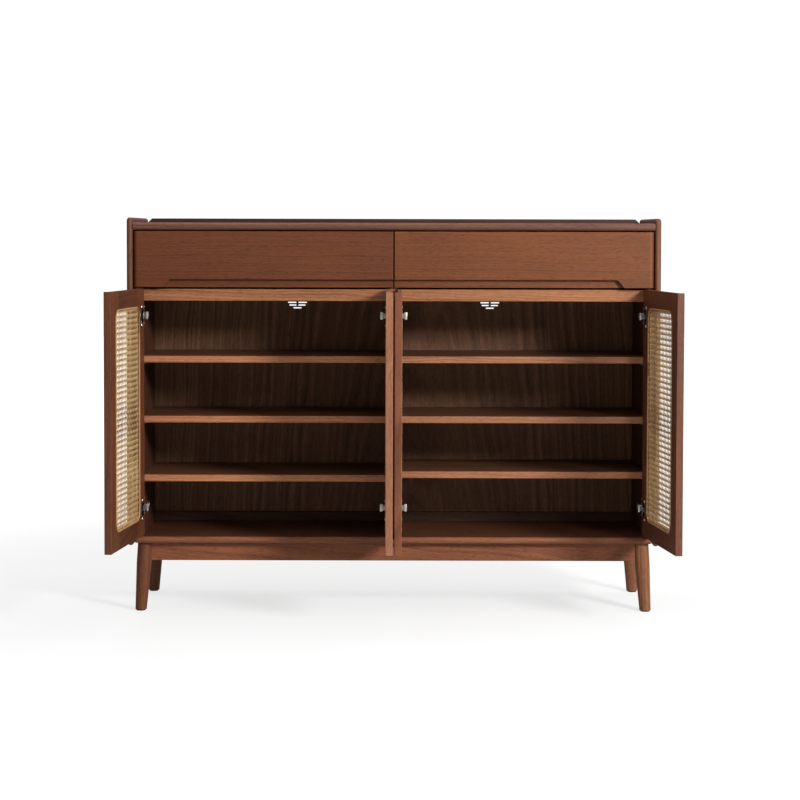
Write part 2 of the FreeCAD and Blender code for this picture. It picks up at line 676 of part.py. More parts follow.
def all_hinge_arms():
    arms = []
    for side in SIGN:
        for which in ("outer", "centre"):
            for z in HINGE_HEIGHTS:
                arms += [on_side(s, side) for s in hinge_arm(which, z)]
    return arms


# ---- screws ---------------------------------------------------------------------------------
def spread(low, high, count):
    step = (high - low) / (count - 1)
    return [low + step * i for i in range(count)]


def back_screws():
    """Through the back panel into the rear edges of the inner sides, dividers and bottom board."""
    x_side = (X_END + X_INNER) / 2
    heights = spread(Z_FLOOR + CASE_SCREW_INSET, Z_CEILING - CASE_SCREW_INSET, 6)
    places = [(s * x_side, z) for s in (-1, 1) for z in heights]
    places += [(0.0, z) for z in spread(Z_FLOOR + CASE_SCREW_INSET, Z_DECK_UNDER - CASE_SCREW_INSET, 4)]
    places += [(0.0, (Z_DECK + Z_CEILING) / 2)]
    z_bottom = Z_BASE + BOTTOM_T / 2
    places += [(x, z_bottom) for x in spread(-x_side + CASE_SCREW_INSET, x_side - CASE_SCREW_INSET, 6)]
    return [screw((x, Y_BACK + BACK_T, z), (0, -1, 0), BACK_SCREW_L, SCREW_R, SCREW_HEAD_R, SCREW_HEAD_T)
            for x, z in places]


def case_screws():
    """Up through the bottom board into the inner sides and the divider, heads let in flush."""
    x_side = (X_END + X_INNER) / 2
    screws = []
    for x in (-x_side, 0.0, x_side):
        for y in spread(Y_CARCASS + CASE_SCREW_INSET * 1.6, Y_BACK - CASE_SCREW_INSET * 1.6, 3):
            seat = (x, y, Z_BASE + SCREW_HEAD_T * 2)
            screws.append(screw(seat, (0, 0, 1), CASE_SCREW_L, CASE_SCREW_R, CASE_SCREW_HEAD_R,
                                SCREW_HEAD_T * 2))
    return screws


# ---- assembly -------------------------------------------------------------------------------
def build():
    """Every node's solids, by name."""
    nodes = {}
    corners = [(side, name, front) for side in SIGN for name, front in (("front", -1), ("rear", 1))]
    bolts = [leg_bolt(side, front) for side, _, front in corners]
    legs = {f"leg_{name}_{side}": leg(side, front) for side, name, front in corners}
    panel_screws = back_screws() + case_screws()
    arms = all_hinge_arms()

    for side in SIGN:
        nodes[f"end_panel_{side}"] = on_side(end_panel(), side)
        holes = pin_holes(side, "inner_side") + panel_screws + arms
        nodes[f"inner_side_{side}"] = without(on_side(inner_side(), side), holes)
    nodes["top_board"] = top_board()
    nodes["gallery_rail"] = gallery_rail()
    nodes["bottom_board"] = bottom_board().cut(panel_screws + bolts)
    holes = pin_holes("left", "divider") + pin_holes("right", "divider")
    nodes["centre_divider"] = centre_divider().cut(holes + panel_screws + arms)
    nodes["drawer_deck"] = drawer_deck()
    nodes["door_head_rail"] = door_head_rail()
    nodes["drawer_divider"] = drawer_divider().cut(panel_screws)
    nodes["back_panel"] = back_panel().cut(panel_screws)
    nodes["back_skirting"] = back_skirting()
    for side in SIGN:
        for level, name in enumerate(SHELVES):
            nodes[f"shelf_{side}_{name}"] = shelf(side, level)
    nodes["shelf_pins"] = shelf_pins()
    for name, shape in legs.items():
        nodes[name] = shape.cut(bolts)
    nodes["leg_bolts"] = bolts
    nodes["apron_front"], nodes["apron_rear"], nodes["apron_ends"] = aprons(list(legs.values()))
    nodes["foot_glides"] = [foot_glide(side, front) for side, _, front in corners]
    nodes["hinge_arms"] = arms
    nodes["panel_screws"] = panel_screws

    outer_members = []
    for side in SIGN:
        outer, middle, inner = runner_set(side)
        outer_members += outer
        nodes[f"drawer_front_{side}"] = on_side(drawer_front(), side)
        nodes[f"drawer_box_{side}"] = [on_side(s, side) for s in drawer_box()]
        nodes[f"drawer_runner_inner_{side}"] = inner
        nodes[f"drawer_runner_middle_{side}"] = middle
    nodes["runner_outer_members"] = outer_members

    for which in ("outer", "centre"):
        stiles, rails = door_frame(which)
        cups = [s for z in HINGE_HEIGHTS for s in hinge_cup(which, z)]
        pieces = {"stiles": stiles, "rails": rails, "cane_panel": [cane_panel(which)],
                  "cane_spline": [cane_spline(which)], "hinge_cups": cups}
        for side in SIGN:
            for name, shapes in pieces.items():
                nodes[f"door_{which}_{side}_{name}"] = [swing(s, which, side) for s in shapes]
    return nodes


def main():
    os.makedirs("parts", exist_ok=True)
    nodes = build()
    for name, shape in nodes.items():
        shapes = shape if isinstance(shape, list) else [shape]
        solids = [solid for s in shapes for solid in s.Solids]
        whole = solids[0] if len(solids) == 1 else Part.makeCompound(solids)
        whole.exportStep(f"parts/{name}.step")
    print(len(nodes), "nodes")
    for which in ("outer", "centre"):
        centre = door_layout(which)[2]
        print(f"left {which} door's hinge centre: {centre.x:.2f}, {centre.y:.2f}")


main()
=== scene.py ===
import json
import math

import bmesh
import bpy
from mathutils import Euler, Matrix, Vector


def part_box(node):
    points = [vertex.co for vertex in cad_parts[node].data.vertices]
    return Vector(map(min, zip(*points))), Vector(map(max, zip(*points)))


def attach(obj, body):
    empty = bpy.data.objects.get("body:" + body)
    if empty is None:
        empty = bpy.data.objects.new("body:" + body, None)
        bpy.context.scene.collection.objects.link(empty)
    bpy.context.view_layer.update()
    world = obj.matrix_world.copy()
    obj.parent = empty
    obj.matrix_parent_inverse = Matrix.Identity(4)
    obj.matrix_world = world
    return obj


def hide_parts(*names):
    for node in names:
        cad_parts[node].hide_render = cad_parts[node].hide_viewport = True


# A low shoe cabinet in walnut-stained wood: two drawers over four doors with woven cane panels.
# The cabinet's boards are the frame's own nodes; the cane, its reed beads, the hinges and the
# screws are made here. Metres, in the frame's own axes.

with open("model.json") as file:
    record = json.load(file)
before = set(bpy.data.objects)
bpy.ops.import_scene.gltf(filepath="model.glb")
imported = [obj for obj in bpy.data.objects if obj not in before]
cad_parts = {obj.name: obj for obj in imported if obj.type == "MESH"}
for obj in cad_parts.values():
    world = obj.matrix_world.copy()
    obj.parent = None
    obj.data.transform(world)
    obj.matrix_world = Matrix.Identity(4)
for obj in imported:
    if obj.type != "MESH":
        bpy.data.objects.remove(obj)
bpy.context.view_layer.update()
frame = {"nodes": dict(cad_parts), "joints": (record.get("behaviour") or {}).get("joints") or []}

NODES = frame["nodes"]
MM = 0.001
SIDES = ("left", "right")
HINGES = {joint["child"]: joint for joint in frame["joints"] if joint["type"] == "hinge"}

# ---- sizes, in millimetres ------------------------------------------------------------------
OPENING_LEDGE = 5.0            # width of the seat that the cane and its reed bead lie on
OPENING_CORNER = 24.0
CANE_DEPTH = 14.0              # middle of the cane, from the door's outer face
CANE_PITCH = 13.6              # one open eight-sided mesh of the weave
CANE_PAIR = 1.35               # each strand of a pair, off the pair's middle
CANE_STRAND = (2.15, 0.68)     # width and thickness of a pair's strand
CANE_SLANT = (2.2, 0.6)        # the same for the slanting strands
CANE_WAVE = 0.45               # how far a pair rises and falls over the pairs it crosses
CANE_SLANT_WAVE = 0.66
WEAVE_REACH = 26               # meshes woven each side of the middle, before it is trimmed
REED = (5.0, 3.9)              # width and height of the bead's oval section
REED_DEPTH = 16.9              # middle of the bead, from the door's outer face
SCREW_RECESS = 1.1


# ---- colour and node helpers ----------------------------------------------------------------
def linear(code):
    """sRGB hex to the linear colour a shader takes."""
    def channel(value):
        return value / 12.92 if value <= 0.04045 else ((value + 0.055) / 1.055) ** 2.4

    return tuple(channel(int(code[i:i + 2], 16) / 255) for i in (1, 3, 5)) + (1.0,)


def add(tree, kind, inputs=None, **settings):
    """Adds a node with its settings. An input is given a value, a socket that feeds it, or a node
    whose first output does."""
    node = tree.nodes.new(kind)
    for name, value in settings.items():
        setattr(node, name, value)
    for name, value in (inputs or {}).items():
        if isinstance(value, bpy.types.Node):
            value = value.outputs[0]
        if isinstance(value, bpy.types.NodeSocket):
            tree.links.new(value, node.inputs[name])
        else:
            node.inputs[name].default_value = value
    return node


def new_material(name):
    """An empty material and its tree."""
    material = bpy.data.materials.new(name)
    material.use_nodes = True
    material.node_tree.nodes.clear()
    return material, material.node_tree


def finish_material(tree, surface):
    add(tree, "ShaderNodeOutputMaterial", {"Surface": surface})


def new_object(name, data):
    made = bpy.data.objects.new(name, data)
    bpy.context.scene.collection.objects.link(made)
    return made


def new_group(name, kind, inputs, outputs):
    """A node group with its named sockets, and the outputs of its input node."""
    tree = bpy.data.node_groups.new(name, kind)
    for way, sockets in (("INPUT", inputs), ("OUTPUT", outputs)):
        for socket, socket_kind in sockets.items():
            tree.interface.new_socket(socket, in_out=way, socket_type="NodeSocket" + socket_kind)
    return tree, add(tree, "NodeGroupInput").outputs


def finish_shape(tree, geometry, material):
    """Ends a geometry tree as one real mesh in its material."""
    real = add(tree, "GeometryNodeRealizeInstances", {"Geometry": geometry})
    finished = add(tree, "GeometryNodeSetMaterial", {"Geometry": real, "Material": material})
    add(tree, "NodeGroupOutput", {"Geometry": finished})


# ---- wood -----------------------------------------------------------------------------------
def wood_group():
    """Grain of a stained, open-pored board. Takes millimetres with the grain along X."""
    tree, given = new_group(
        "board grain", "ShaderNodeTree",
        {"Vector": "Vector", "Dark": "Color", "Middle": "Color", "Light": "Color",
         "Figure": "Float", "Gloss": "Float"},
        {"Color": "Color", "Roughness": "Float", "Height": "Float"})

    def streaks(vector, along, across, detail, roughness=0.5):
        """Noise drawn out along the grain: its size in mm along the board and across it."""
        sized = add(tree, "ShaderNodeVectorMath", {
            0: vector, 1: (1 / along, 1 / across, 1 / across)}, operation="MULTIPLY")
        return add(tree, "ShaderNodeTexNoise", {
            "Vector": sized, "Scale": 1.0, "Detail": detail, "Roughness": roughness})

    # Slow wander of the grain.
    wander = streaks(given["Vector"], 260, 60, 2.0)
    shift = add(tree, "ShaderNodeVectorMath", {
        0: wander.outputs["Color"], 1: (0.0, 26.0, 26.0)}, operation="MULTIPLY")
    bent = add(tree, "ShaderNodeVectorMath", {0: given["Vector"], 1: shift})

    # Growth rings round a heart well below the face, so a wide board shows arches at its middle.
    across = add(tree, "ShaderNodeVectorMath", {
        0: bent, 1: (0.035, 1.0, 1.0)}, operation="MULTIPLY")
    radius = add(tree, "ShaderNodeVectorMath", {0: across}, operation="LENGTH")
    rings = add(tree, "ShaderNodeTexNoise", {
        "W": radius.outputs["Value"], "Scale": 1 / 5.5, "Detail": 3.0, "Roughness": 0.62},
        noise_dimensions="1D")

    # Fibre streaks 2.2 mm wide, flecks 3.5 mm wide, and pores 0.9 mm wide: pores are drawn at twice
    # their real width so that they show.
    fibre = streaks(bent, 110, 2.2, 4.0, 0.6)
    fleck = streaks(bent, 11, 3.5, 1.0)
    pores = add(tree, "ShaderNodeMapRange", {
        "Value": streaks(bent, 17, 0.9, 0.0), "From Min": 0.60, "From Max": 0.70})

    ring_part = add(tree, "ShaderNodeMath", {0: rings, 1: 0.55}, operation="MULTIPLY")
    with_fibre = add(tree, "ShaderNodeMath", {
        0: fibre, 1: 0.33, 2: ring_part}, operation="MULTIPLY_ADD")
    with_fleck = add(tree, "ShaderNodeMath", {
        0: fleck, 1: 0.12, 2: with_fibre}, operation="MULTIPLY_ADD")
    centred = add(tree, "ShaderNodeMath", {0: with_fleck, 1: 0.5}, operation="SUBTRACT")
    figure = add(tree, "ShaderNodeMath", {
        0: centred, 1: given["Figure"], 2: 0.5}, operation="MULTIPLY_ADD", use_clamp=True)
    lower = add(tree, "ShaderNodeMapRange", {"Value": figure, "From Max": 0.5})
    upper = add(tree, "ShaderNodeMapRange", {"Value": figure, "From Min": 0.5})
    dark_side = add(tree, "ShaderNodeMix", {
        0: lower, 6: given["Dark"], 7: given["Middle"]}, data_type="RGBA")
    stained = add(tree, "ShaderNodeMix", {
        0: upper, 6: dark_side.outputs[2], 7: given["Light"]}, data_type="RGBA")

    # The stain takes unevenly over a hand's width, and sits darker in the pores.
    patch = streaks(given["Vector"], 300, 90, 1.0)
    tone = add(tree, "ShaderNodeMapRange", {
        "Value": patch, "From Min": 0.25, "From Max": 0.75, "To Min": 0.88, "To Max": 1.12})
    pore_tone = add(tree, "ShaderNodeMath", {0: pores, 1: -0.38, 2: tone}, operation="MULTIPLY_ADD")
    coloured = add(tree, "ShaderNodeHueSaturation", {
        "Value": pore_tone, "Color": stained.outputs[2]})
    rough = add(tree, "ShaderNodeMath", {
        0: fibre, 1: 0.16, 2: given["Gloss"]}, operation="MULTIPLY_ADD")
    rough_pores = add(tree, "ShaderNodeMath", {
        0: pores, 1: 0.15, 2: rough}, operation="MULTIPLY_ADD")
    height = add(tree, "ShaderNodeMath", {0: pores, 1: -1.0, 2: figure}, operation="MULTIPLY_ADD")
    add(tree, "NodeGroupOutput", {"Color": coloured, "Roughness": rough_pores, "Height": height})
    return tree


GRAIN = wood_group()
ALONG_X = (0.0, 0.0, 0.0)
ALONG_Y = (0.0, 0.0, -math.pi / 2)
ALONG_Z = (0.0, math.pi / 2, 0.0)
boards_made = 0


def stained_wood(name, tones, turn=ALONG_X, tone_and_light=(1.0, 1.0, 1.0), figure=1.6, gloss=0.40,
                 arris=0.9, lipping=None):
    """Stained walnut under satin lacquer: warm brown streaks and short dark pores, with a low,
    broad shine and a thin bright line along each softened arris. The tone-and-light factor is how
    much
    of each colour this board kept: partly its own tone, partly painted light and painted shade for
    how the board faces the key lamp or sits in shadow. The shade line is where, in metres, the lit
    front edge ends, and how dark the top behind it is painted: painted shade on the top."""
    global boards_made
    boards_made += 1
    material, tree = new_material("stained_wood_" + name)
    place = add(tree, "ShaderNodeTexCoord").outputs["Object"]
    # Each board is cut from another part of the tree.
    shift = (boards_made * 0.731, 0.05 + 0.023 * (boards_made % 5),
             0.040 + 0.017 * (boards_made % 7))
    turned = add(tree, "ShaderNodeMapping", {"Vector": place, "Location": shift, "Rotation": turn})
    in_mm = add(tree, "ShaderNodeVectorMath", {0: turned, "Scale": 1 / MM}, operation="SCALE")
    stained = {key: [a * b for a, b in zip(linear(tone), (*tone_and_light, 1.0))]
               for key, tone in zip(("Dark", "Middle", "Light"), tones)}
    grain = add(tree, "ShaderNodeGroup", {
        "Vector": in_mm, "Figure": figure, "Gloss": gloss} | stained, node_tree=GRAIN)
    colour = grain.outputs["Color"]
    # Painted shade: the top behind the front edge is darkened for the shade under the board above.
    if lipping is not None:
        depth = add(tree, "ShaderNodeSeparateXYZ", {0: place}).outputs["Y"]
        painted_top_shade = add(tree, "ShaderNodeMapRange", {
            "Value": depth, "From Min": lipping[0], "From Max": lipping[0] + 0.3 * MM,
            "To Min": 1.0, "To Max": lipping[1]})
        colour = add(tree, "ShaderNodeVectorMath", {0: colour, "Scale": painted_top_shade}, operation="SCALE")
    softened = add(tree, "ShaderNodeBevel", {"Radius": arris * MM}, samples=4)
    bump = add(tree, "ShaderNodeBump", {
        "Height": grain.outputs["Height"], "Strength": 0.25, "Distance": 0.15 * MM,
        "Normal": softened})
    shader = add(tree, "ShaderNodeBsdfPrincipled", {
        "Base Color": colour, "Roughness": grain.outputs["Roughness"], "Normal": bump,
        "Specular IOR Level": 0.3})
    finish_material(tree, shader)
    return material


def dress(name, material):
    """Gives one of the frame's nodes its material."""
    node = NODES[name]
    if not node.material_slots:
        node.data.materials.append(None)
    for place in node.material_slots:
        place.material = material


def board(name, *finish, **more):
    """Gives a board of the frame its own cut of stained wood."""
    dress(name, stained_wood(name, *finish, **more))


WALNUT = ("#4d2d1c", "#7d4c33", "#9a6646")
WALNUT_PALE = ("#5d3822", "#96603e", "#b27d55")
WALNUT_DARK = ("#35200f", "#5f3d25", "#835a3c")
PLYWOOD = ("#6d4a30", "#94694a", "#b08462")
SHELF_SHADE_LINE, BOTTOM_SHADE_LINE = -0.1435, -0.1645    # where the painted shade on the tops begins, in metres

# The factors differ from left to right as painted light and painted shade, for where the key lamp
# falls; the inner sides' low factor is painted shade in the bays.
for side, end_tone_and_light, drawer_tone_and_light, shelf_tone_and_light in (
        ("left", (0.58, 0.58, 0.58), (0.61, 0.47, 0.29), (1.25, 1.25, 1.35)),
        ("right", (0.76, 0.84, 0.92), (0.75, 0.61, 0.34), (1.0, 1.02, 1.12))):
    board(f"end_panel_{side}", WALNUT, ALONG_Z, end_tone_and_light)
    board(f"inner_side_{side}", WALNUT, ALONG_Z, (0.36, 0.34, 0.34))
    board(f"drawer_front_{side}", WALNUT, ALONG_X, drawer_tone_and_light, figure=1.2)
    board(f"drawer_box_{side}", PLYWOOD, ALONG_Y, gloss=0.5)
    for level in ("low", "mid", "high"):
        board(f"shelf_{side}_{level}", WALNUT_PALE, ALONG_X, shelf_tone_and_light, lipping=(SHELF_SHADE_LINE, 0.36))
# The legs' factors are painted light and shade: the right legs lit by the key lamp, the left ones
# darker, the rear left one darkest in painted shadow under the cabinet.
for end, side, tone_and_light in (
        ("front", "left", (0.65, 0.55, 0.42)), ("front", "right", (0.98, 1.06, 0.95)),
        ("rear", "left", (0.55, 0.50, 0.36)), ("rear", "right", (1.16, 1.18, 1.12))):
    board(f"leg_{end}_{side}", WALNUT, ALONG_Z, tone_and_light)
# The top board's greyer, bluer factor is a painted cool reflection on its nose, and the gallery
# rail's low factor is painted shade.
board("top_board", WALNUT, ALONG_X, (0.62, 0.72, 0.92))
board("gallery_rail", WALNUT, ALONG_X, (0.27, 0.20, 0.20))
board("bottom_board", WALNUT, ALONG_X, (1.05, 1.0, 0.93), lipping=(BOTTOM_SHADE_LINE, 0.45))
board("drawer_deck", WALNUT, ALONG_X)
for name in ("apron_front", "apron_rear"):
    board(name, WALNUT, ALONG_X, (1.05, 0.95, 0.85))
board("door_head_rail", WALNUT_PALE, ALONG_X, figure=1.9)
board("apron_ends", WALNUT, ALONG_Y)
board("centre_divider", WALNUT, ALONG_Z)
board("drawer_divider", WALNUT, ALONG_Z)
# The back panel's brighter, bluer factor is painted light in the dark bays.
board("back_panel", WALNUT_DARK, ALONG_Z, (1.16, 1.27, 1.55), figure=2.0, gloss=0.5)
board("back_skirting", WALNUT_DARK, ALONG_X, (0.42, 0.42, 0.5), gloss=0.5)


# ---- metals and plastic ---------------------------------------------------------------------
def plated_metal(name, tones, roughness, speck_mm):
    """Plated steel: grey metal whose shine breaks up a little where the plating is thin."""
    material, tree = new_material(name)
    place = add(tree, "ShaderNodeTexCoord").outputs["Object"]
    cloud = add(tree, "ShaderNodeTexNoise", {
        "Vector": place, "Scale": 1 / (speck_mm * MM), "Detail": 3.0})
    tone = add(tree, "ShaderNodeMix", {
        0: cloud, 6: linear(tones[0]), 7: linear(tones[1])}, data_type="RGBA")
    rough = add(tree, "ShaderNodeMapRange", {
        "Value": cloud, "To Min": roughness - 0.08, "To Max": roughness + 0.08})
    bump = add(tree, "ShaderNodeBump", {"Height": cloud, "Strength": 0.12, "Distance": 0.05 * MM})
    shader = add(tree, "ShaderNodeBsdfPrincipled", {
        "Base Color": tone.outputs[2], "Metallic": 1.0, "Roughness": rough, "Normal": bump})
    finish_material(tree, shader)
    return material


def moulded_nylon():
    """Moulded nylon: near-black, matt, with the fine mottle of a spark-eroded mould."""
    material, tree = new_material("moulded_nylon")
    place = add(tree, "ShaderNodeTexCoord").outputs["Object"]
    mottle = add(tree, "ShaderNodeTexNoise", {
        "Vector": place, "Scale": 1 / (0.8 * MM), "Detail": 2.0})
    tone = add(tree, "ShaderNodeMix", {
        0: mottle, 6: linear("#1c1917"), 7: linear("#2b2724")}, data_type="RGBA")
    bump = add(tree, "ShaderNodeBump", {"Height": mottle, "Strength": 0.3, "Distance": 0.05 * MM})
    shader = add(tree, "ShaderNodeBsdfPrincipled", {
        "Base Color": tone.outputs[2], "Roughness": 0.6, "IOR": 1.53, "Normal": bump})
    finish_material(tree, shader)
    return material


NICKEL = plated_metal("nickel_plated_steel", ("#cdc6bc", "#ebe5dc"), 0.34, 3.0)
# The cups' nickel has dark tones: painted reflection of the dark bay they face.
NICKEL_CUP_PAINTED_DARK = plated_metal("nickel_cup_painted_dark", ("#6c665f", "#958d84"), 0.2, 3.0)
ZINC = plated_metal("zinc_plated_steel", ("#8f9296", "#b9bbbd"), 0.38, 4.0)
NYLON = moulded_nylon()
for side in SIDES:
    dress(f"drawer_runner_inner_{side}", ZINC)
    dress(f"drawer_runner_middle_{side}", ZINC)
for name in ("runner_outer_members", "leg_bolts", "shelf_pins"):
    dress(name, ZINC)
dress("foot_glides", NYLON)


# ---- cane and reed --------------------------------------------------------------------------
def split_cane(name, dark, light, vein, roughness):
    """Natural cane: straw-coloured and faintly glossy, each strand a little lighter or darker than
    the next, with fine fibres along it."""
    material, tree = new_material(name)
    along = add(tree, "ShaderNodeAttribute", attribute_name="along").outputs["Fac"]
    around = add(tree, "ShaderNodeAttribute", attribute_name="around").outputs["Fac"]
    strand = add(tree, "ShaderNodeAttribute", attribute_name="strand").outputs["Fac"]
    # Fibres: 60 mm long and about a seventh of the strand's girth across.
    length = add(tree, "ShaderNodeMath", {0: along, 1: 1 / (60 * MM)}, operation="MULTIPLY")
    girth = add(tree, "ShaderNodeMath", {0: around, 1: 7.0}, operation="MULTIPLY")
    number = add(tree, "ShaderNodeMath", {0: strand, 1: 90.0}, operation="MULTIPLY")
    lie = add(tree, "ShaderNodeCombineXYZ", {0: length, 1: girth, 2: number})
    fibre = add(tree, "ShaderNodeTexNoise", {"Vector": lie, "Scale": 1.0, "Detail": 3.0})
    mixed = add(tree, "ShaderNodeMath", {0: strand, 1: 0.45, 2: fibre}, operation="MULTIPLY_ADD")
    level = add(tree, "ShaderNodeMapRange", {"Value": mixed, "From Min": 0.35, "From Max": 1.1})
    tone = add(tree, "ShaderNodeMix", {
        0: level, 6: linear(dark), 7: linear(light)}, data_type="RGBA")
    node_noise = add(tree, "ShaderNodeTexNoise", {
        "W": length, "Scale": 0.35, "Detail": 0.0}, noise_dimensions="1D")
    knuckle = add(tree, "ShaderNodeMapRange", {
        "Value": node_noise, "From Min": 0.66, "From Max": 0.72})
    stained = add(tree, "ShaderNodeMix", {
        0: knuckle, 6: tone.outputs[2], 7: linear(vein)}, data_type="RGBA")
    rough = add(tree, "ShaderNodeMapRange", {
        "Value": fibre, "To Min": roughness - 0.08, "To Max": roughness + 0.12})
    bump = add(tree, "ShaderNodeBump", {"Height": fibre, "Strength": 0.3, "Distance": 0.1 * MM})
    shader = add(tree, "ShaderNodeBsdfPrincipled", {
        "Base Color": stained.outputs[2], "Roughness": rough, "Normal": bump, "IOR": 1.46,
        "Sheen Weight": 0.05})
    finish_material(tree, shader)
    return material


CANE = split_cane("split_cane", "#946a3c", "#e2c288", "#7d5c3a", 0.45)
REED_BEAD = split_cane("reed_bead", "#a8764d", "#d9ab78", "#8a5c3a", 0.45)


def cane_weave():
    """Open eight-way cane: pairs up and across, over and under each other, and single strands both
    ways on the slant. Drawn in XY and trimmed to a rectangle with rounded corners."""
    sizes = ("Width", "Height", "Corner", "Pitch", "Pair Gap", "Strand Width", "Strand Thickness",
             "Slant Width", "Slant Thickness", "Wave", "Slant Wave")
    tree, given = new_group("cane weave", "GeometryNodeTree",
                            dict.fromkeys(sizes, "Float") | {"Seed": "Int", "Material": "Material"},
                            {"Geometry": "Geometry"})

    # Half the weave's side is a whole number of meshes, so that every strand is sampled in step.
    half = add(tree, "ShaderNodeMath", {
        0: given["Pitch"], 1: float(WEAVE_REACH)}, operation="MULTIPLY")
    low_end = add(tree, "ShaderNodeMath", {0: half, 1: -1.0}, operation="MULTIPLY")
    start = add(tree, "ShaderNodeCombineXYZ", {1: low_end})
    end = add(tree, "ShaderNodeCombineXYZ", {1: half})
    upright = add(tree, "GeometryNodeCurvePrimitiveLine", {"Start": start, "End": end})
    straight = add(tree, "GeometryNodeResampleCurve", {
        "Curve": upright, "Count": WEAVE_REACH * 6 + 1})
    row_start = add(tree, "ShaderNodeCombineXYZ", {0: low_end})
    step = add(tree, "ShaderNodeCombineXYZ", {0: given["Pitch"]})
    row = add(tree, "GeometryNodeMeshLine", {
        "Count": WEAVE_REACH * 2 + 1, "Start Location": row_start, "Offset": step})

    def laid(curve, spread, turn, seed):
        """Strands side by side along the row, numbered at random and turned into direction."""
        moved = add(tree, "GeometryNodeTransform", {"Geometry": row, "Translation": spread})
        placed = add(tree, "GeometryNodeInstanceOnPoints", {"Points": moved, "Instance": curve})
        pick = add(tree, "FunctionNodeRandomValue", {"Seed": seed}, data_type="FLOAT")
        marked = add(tree, "GeometryNodeStoreNamedAttribute", {
            "Geometry": placed, "Name": "strand", "Value": pick.outputs[1]}, data_type="FLOAT",
            domain="INSTANCE")
        real = add(tree, "GeometryNodeRealizeInstances", {"Geometry": marked})
        return add(tree, "GeometryNodeTransform", {
            "Geometry": real, "Rotation": Euler((0, 0, turn))})

    place = add(tree, "GeometryNodeInputPosition")
    parts = add(tree, "ShaderNodeSeparateXYZ", {0: place}).outputs
    turns = {}
    for key in ("X", "Y"):
        cell = add(tree, "ShaderNodeMath", {0: parts[key], 1: given["Pitch"]}, operation="DIVIDE")
        slope = add(tree, "ShaderNodeMath", {0: cell, 1: math.pi}, operation="MULTIPLY")
        wave = add(tree, "ShaderNodeMath", {0: slope}, operation="COSINE")
        whole = add(tree, "ShaderNodeMath", {0: cell}, operation="ROUND")
        parity = add(tree, "ShaderNodeMath", {0: whole, 1: math.pi}, operation="MULTIPLY")
        sign = add(tree, "ShaderNodeMath", {0: parity}, operation="COSINE")
        double = add(tree, "ShaderNodeMath", {0: slope, 1: 2.0}, operation="MULTIPLY")
        fast = add(tree, "ShaderNodeMath", {0: double}, operation="COSINE")
        turns[key] = (wave, sign, fast)

    def woven(strands, rise, section):
        """Lifts the strands by their wave, trims them to the opening and gives them thickness."""
        lift = add(tree, "ShaderNodeCombineXYZ", {2: rise})
        waved = add(tree, "GeometryNodeSetPosition", {"Geometry": strands, "Offset": lift})
        trimmed = add(tree, "GeometryNodeDeleteGeometry", {
            "Geometry": waved, "Selection": outside}, domain="POINT")
        level = add(tree, "GeometryNodeSetCurveNormal", {"Curve": trimmed}, mode="Z_UP")
        travel = add(tree, "GeometryNodeSplineParameter").outputs["Length"]
        marked = add(tree, "GeometryNodeStoreNamedAttribute", {
            "Geometry": level, "Name": "along", "Value": travel}, data_type="FLOAT", domain="POINT")
        return add(tree, "GeometryNodeCurveToMesh", {
            "Curve": marked, "Profile Curve": section, "Fill Caps": True})

    # Outside the rounded rectangle.
    core = add(tree, "ShaderNodeCombineXYZ")
    for index, key in ((0, "Width"), (1, "Height")):
        side_half = add(tree, "ShaderNodeMath", {0: given[key], 1: 0.5}, operation="MULTIPLY")
        inner = add(tree, "ShaderNodeMath", {
            0: side_half, 1: given["Corner"]}, operation="SUBTRACT")
        tree.links.new(inner.outputs[0], core.inputs[index])
    flat = add(tree, "ShaderNodeVectorMath", {0: place, 1: (1.0, 1.0, 0.0)}, operation="MULTIPLY")
    folded = add(tree, "ShaderNodeVectorMath", {0: flat}, operation="ABSOLUTE")
    beyond = add(tree, "ShaderNodeVectorMath", {0: folded, 1: core}, operation="SUBTRACT")
    clipped = add(tree, "ShaderNodeVectorMath", {0: beyond}, operation="MAXIMUM")
    distance = add(tree, "ShaderNodeVectorMath", {0: clipped}, operation="LENGTH")
    outside = add(tree, "ShaderNodeMath", {
        0: distance.outputs["Value"], 1: given["Corner"]}, operation="GREATER_THAN")

    sections = []
    for width, thickness in (("Strand Width", "Strand Thickness"),
                             ("Slant Width", "Slant Thickness")):
        ring = add(tree, "GeometryNodeCurvePrimitiveCircle", {"Resolution": 6, "Radius": 0.5})
        part_way = add(tree, "GeometryNodeSplineParameter").outputs["Factor"]
        marked = add(tree, "GeometryNodeStoreNamedAttribute", {
            "Geometry": ring, "Name": "around", "Value": part_way}, data_type="FLOAT",
            domain="POINT")
        size = add(tree, "ShaderNodeCombineXYZ", {0: given[width], 1: given[thickness], 2: 1.0})
        sections.append(add(tree, "GeometryNodeTransform", {"Geometry": marked, "Scale": size}))

    join = add(tree, "GeometryNodeJoinGeometry")
    seeds = iter(range(1, 9))
    for turn, along_key, across_key, sense in ((0.0, "Y", "X", 1.0), (math.pi / 2, "X", "Y", -1.0)):
        wave = turns[along_key][0]
        sign = turns[across_key][1]
        product = add(tree, "ShaderNodeMath", {0: wave, 1: sign}, operation="MULTIPLY")
        sized = add(tree, "ShaderNodeMath", {0: product, 1: given["Wave"]}, operation="MULTIPLY")
        rise = add(tree, "ShaderNodeMath", {0: sized, 1: sense}, operation="MULTIPLY")
        for which in (-1.0, 1.0):
            gap = add(tree, "ShaderNodeMath", {
                0: given["Pair Gap"], 1: which}, operation="MULTIPLY")
            spread = add(tree, "ShaderNodeCombineXYZ", {0: gap})
            seed = add(tree, "ShaderNodeMath", {0: given["Seed"], 1: float(next(seeds))})
            strands = laid(straight, spread, turn, seed)
            made = woven(strands, rise, sections[0])
            tree.links.new(made.outputs[0], join.inputs[0])

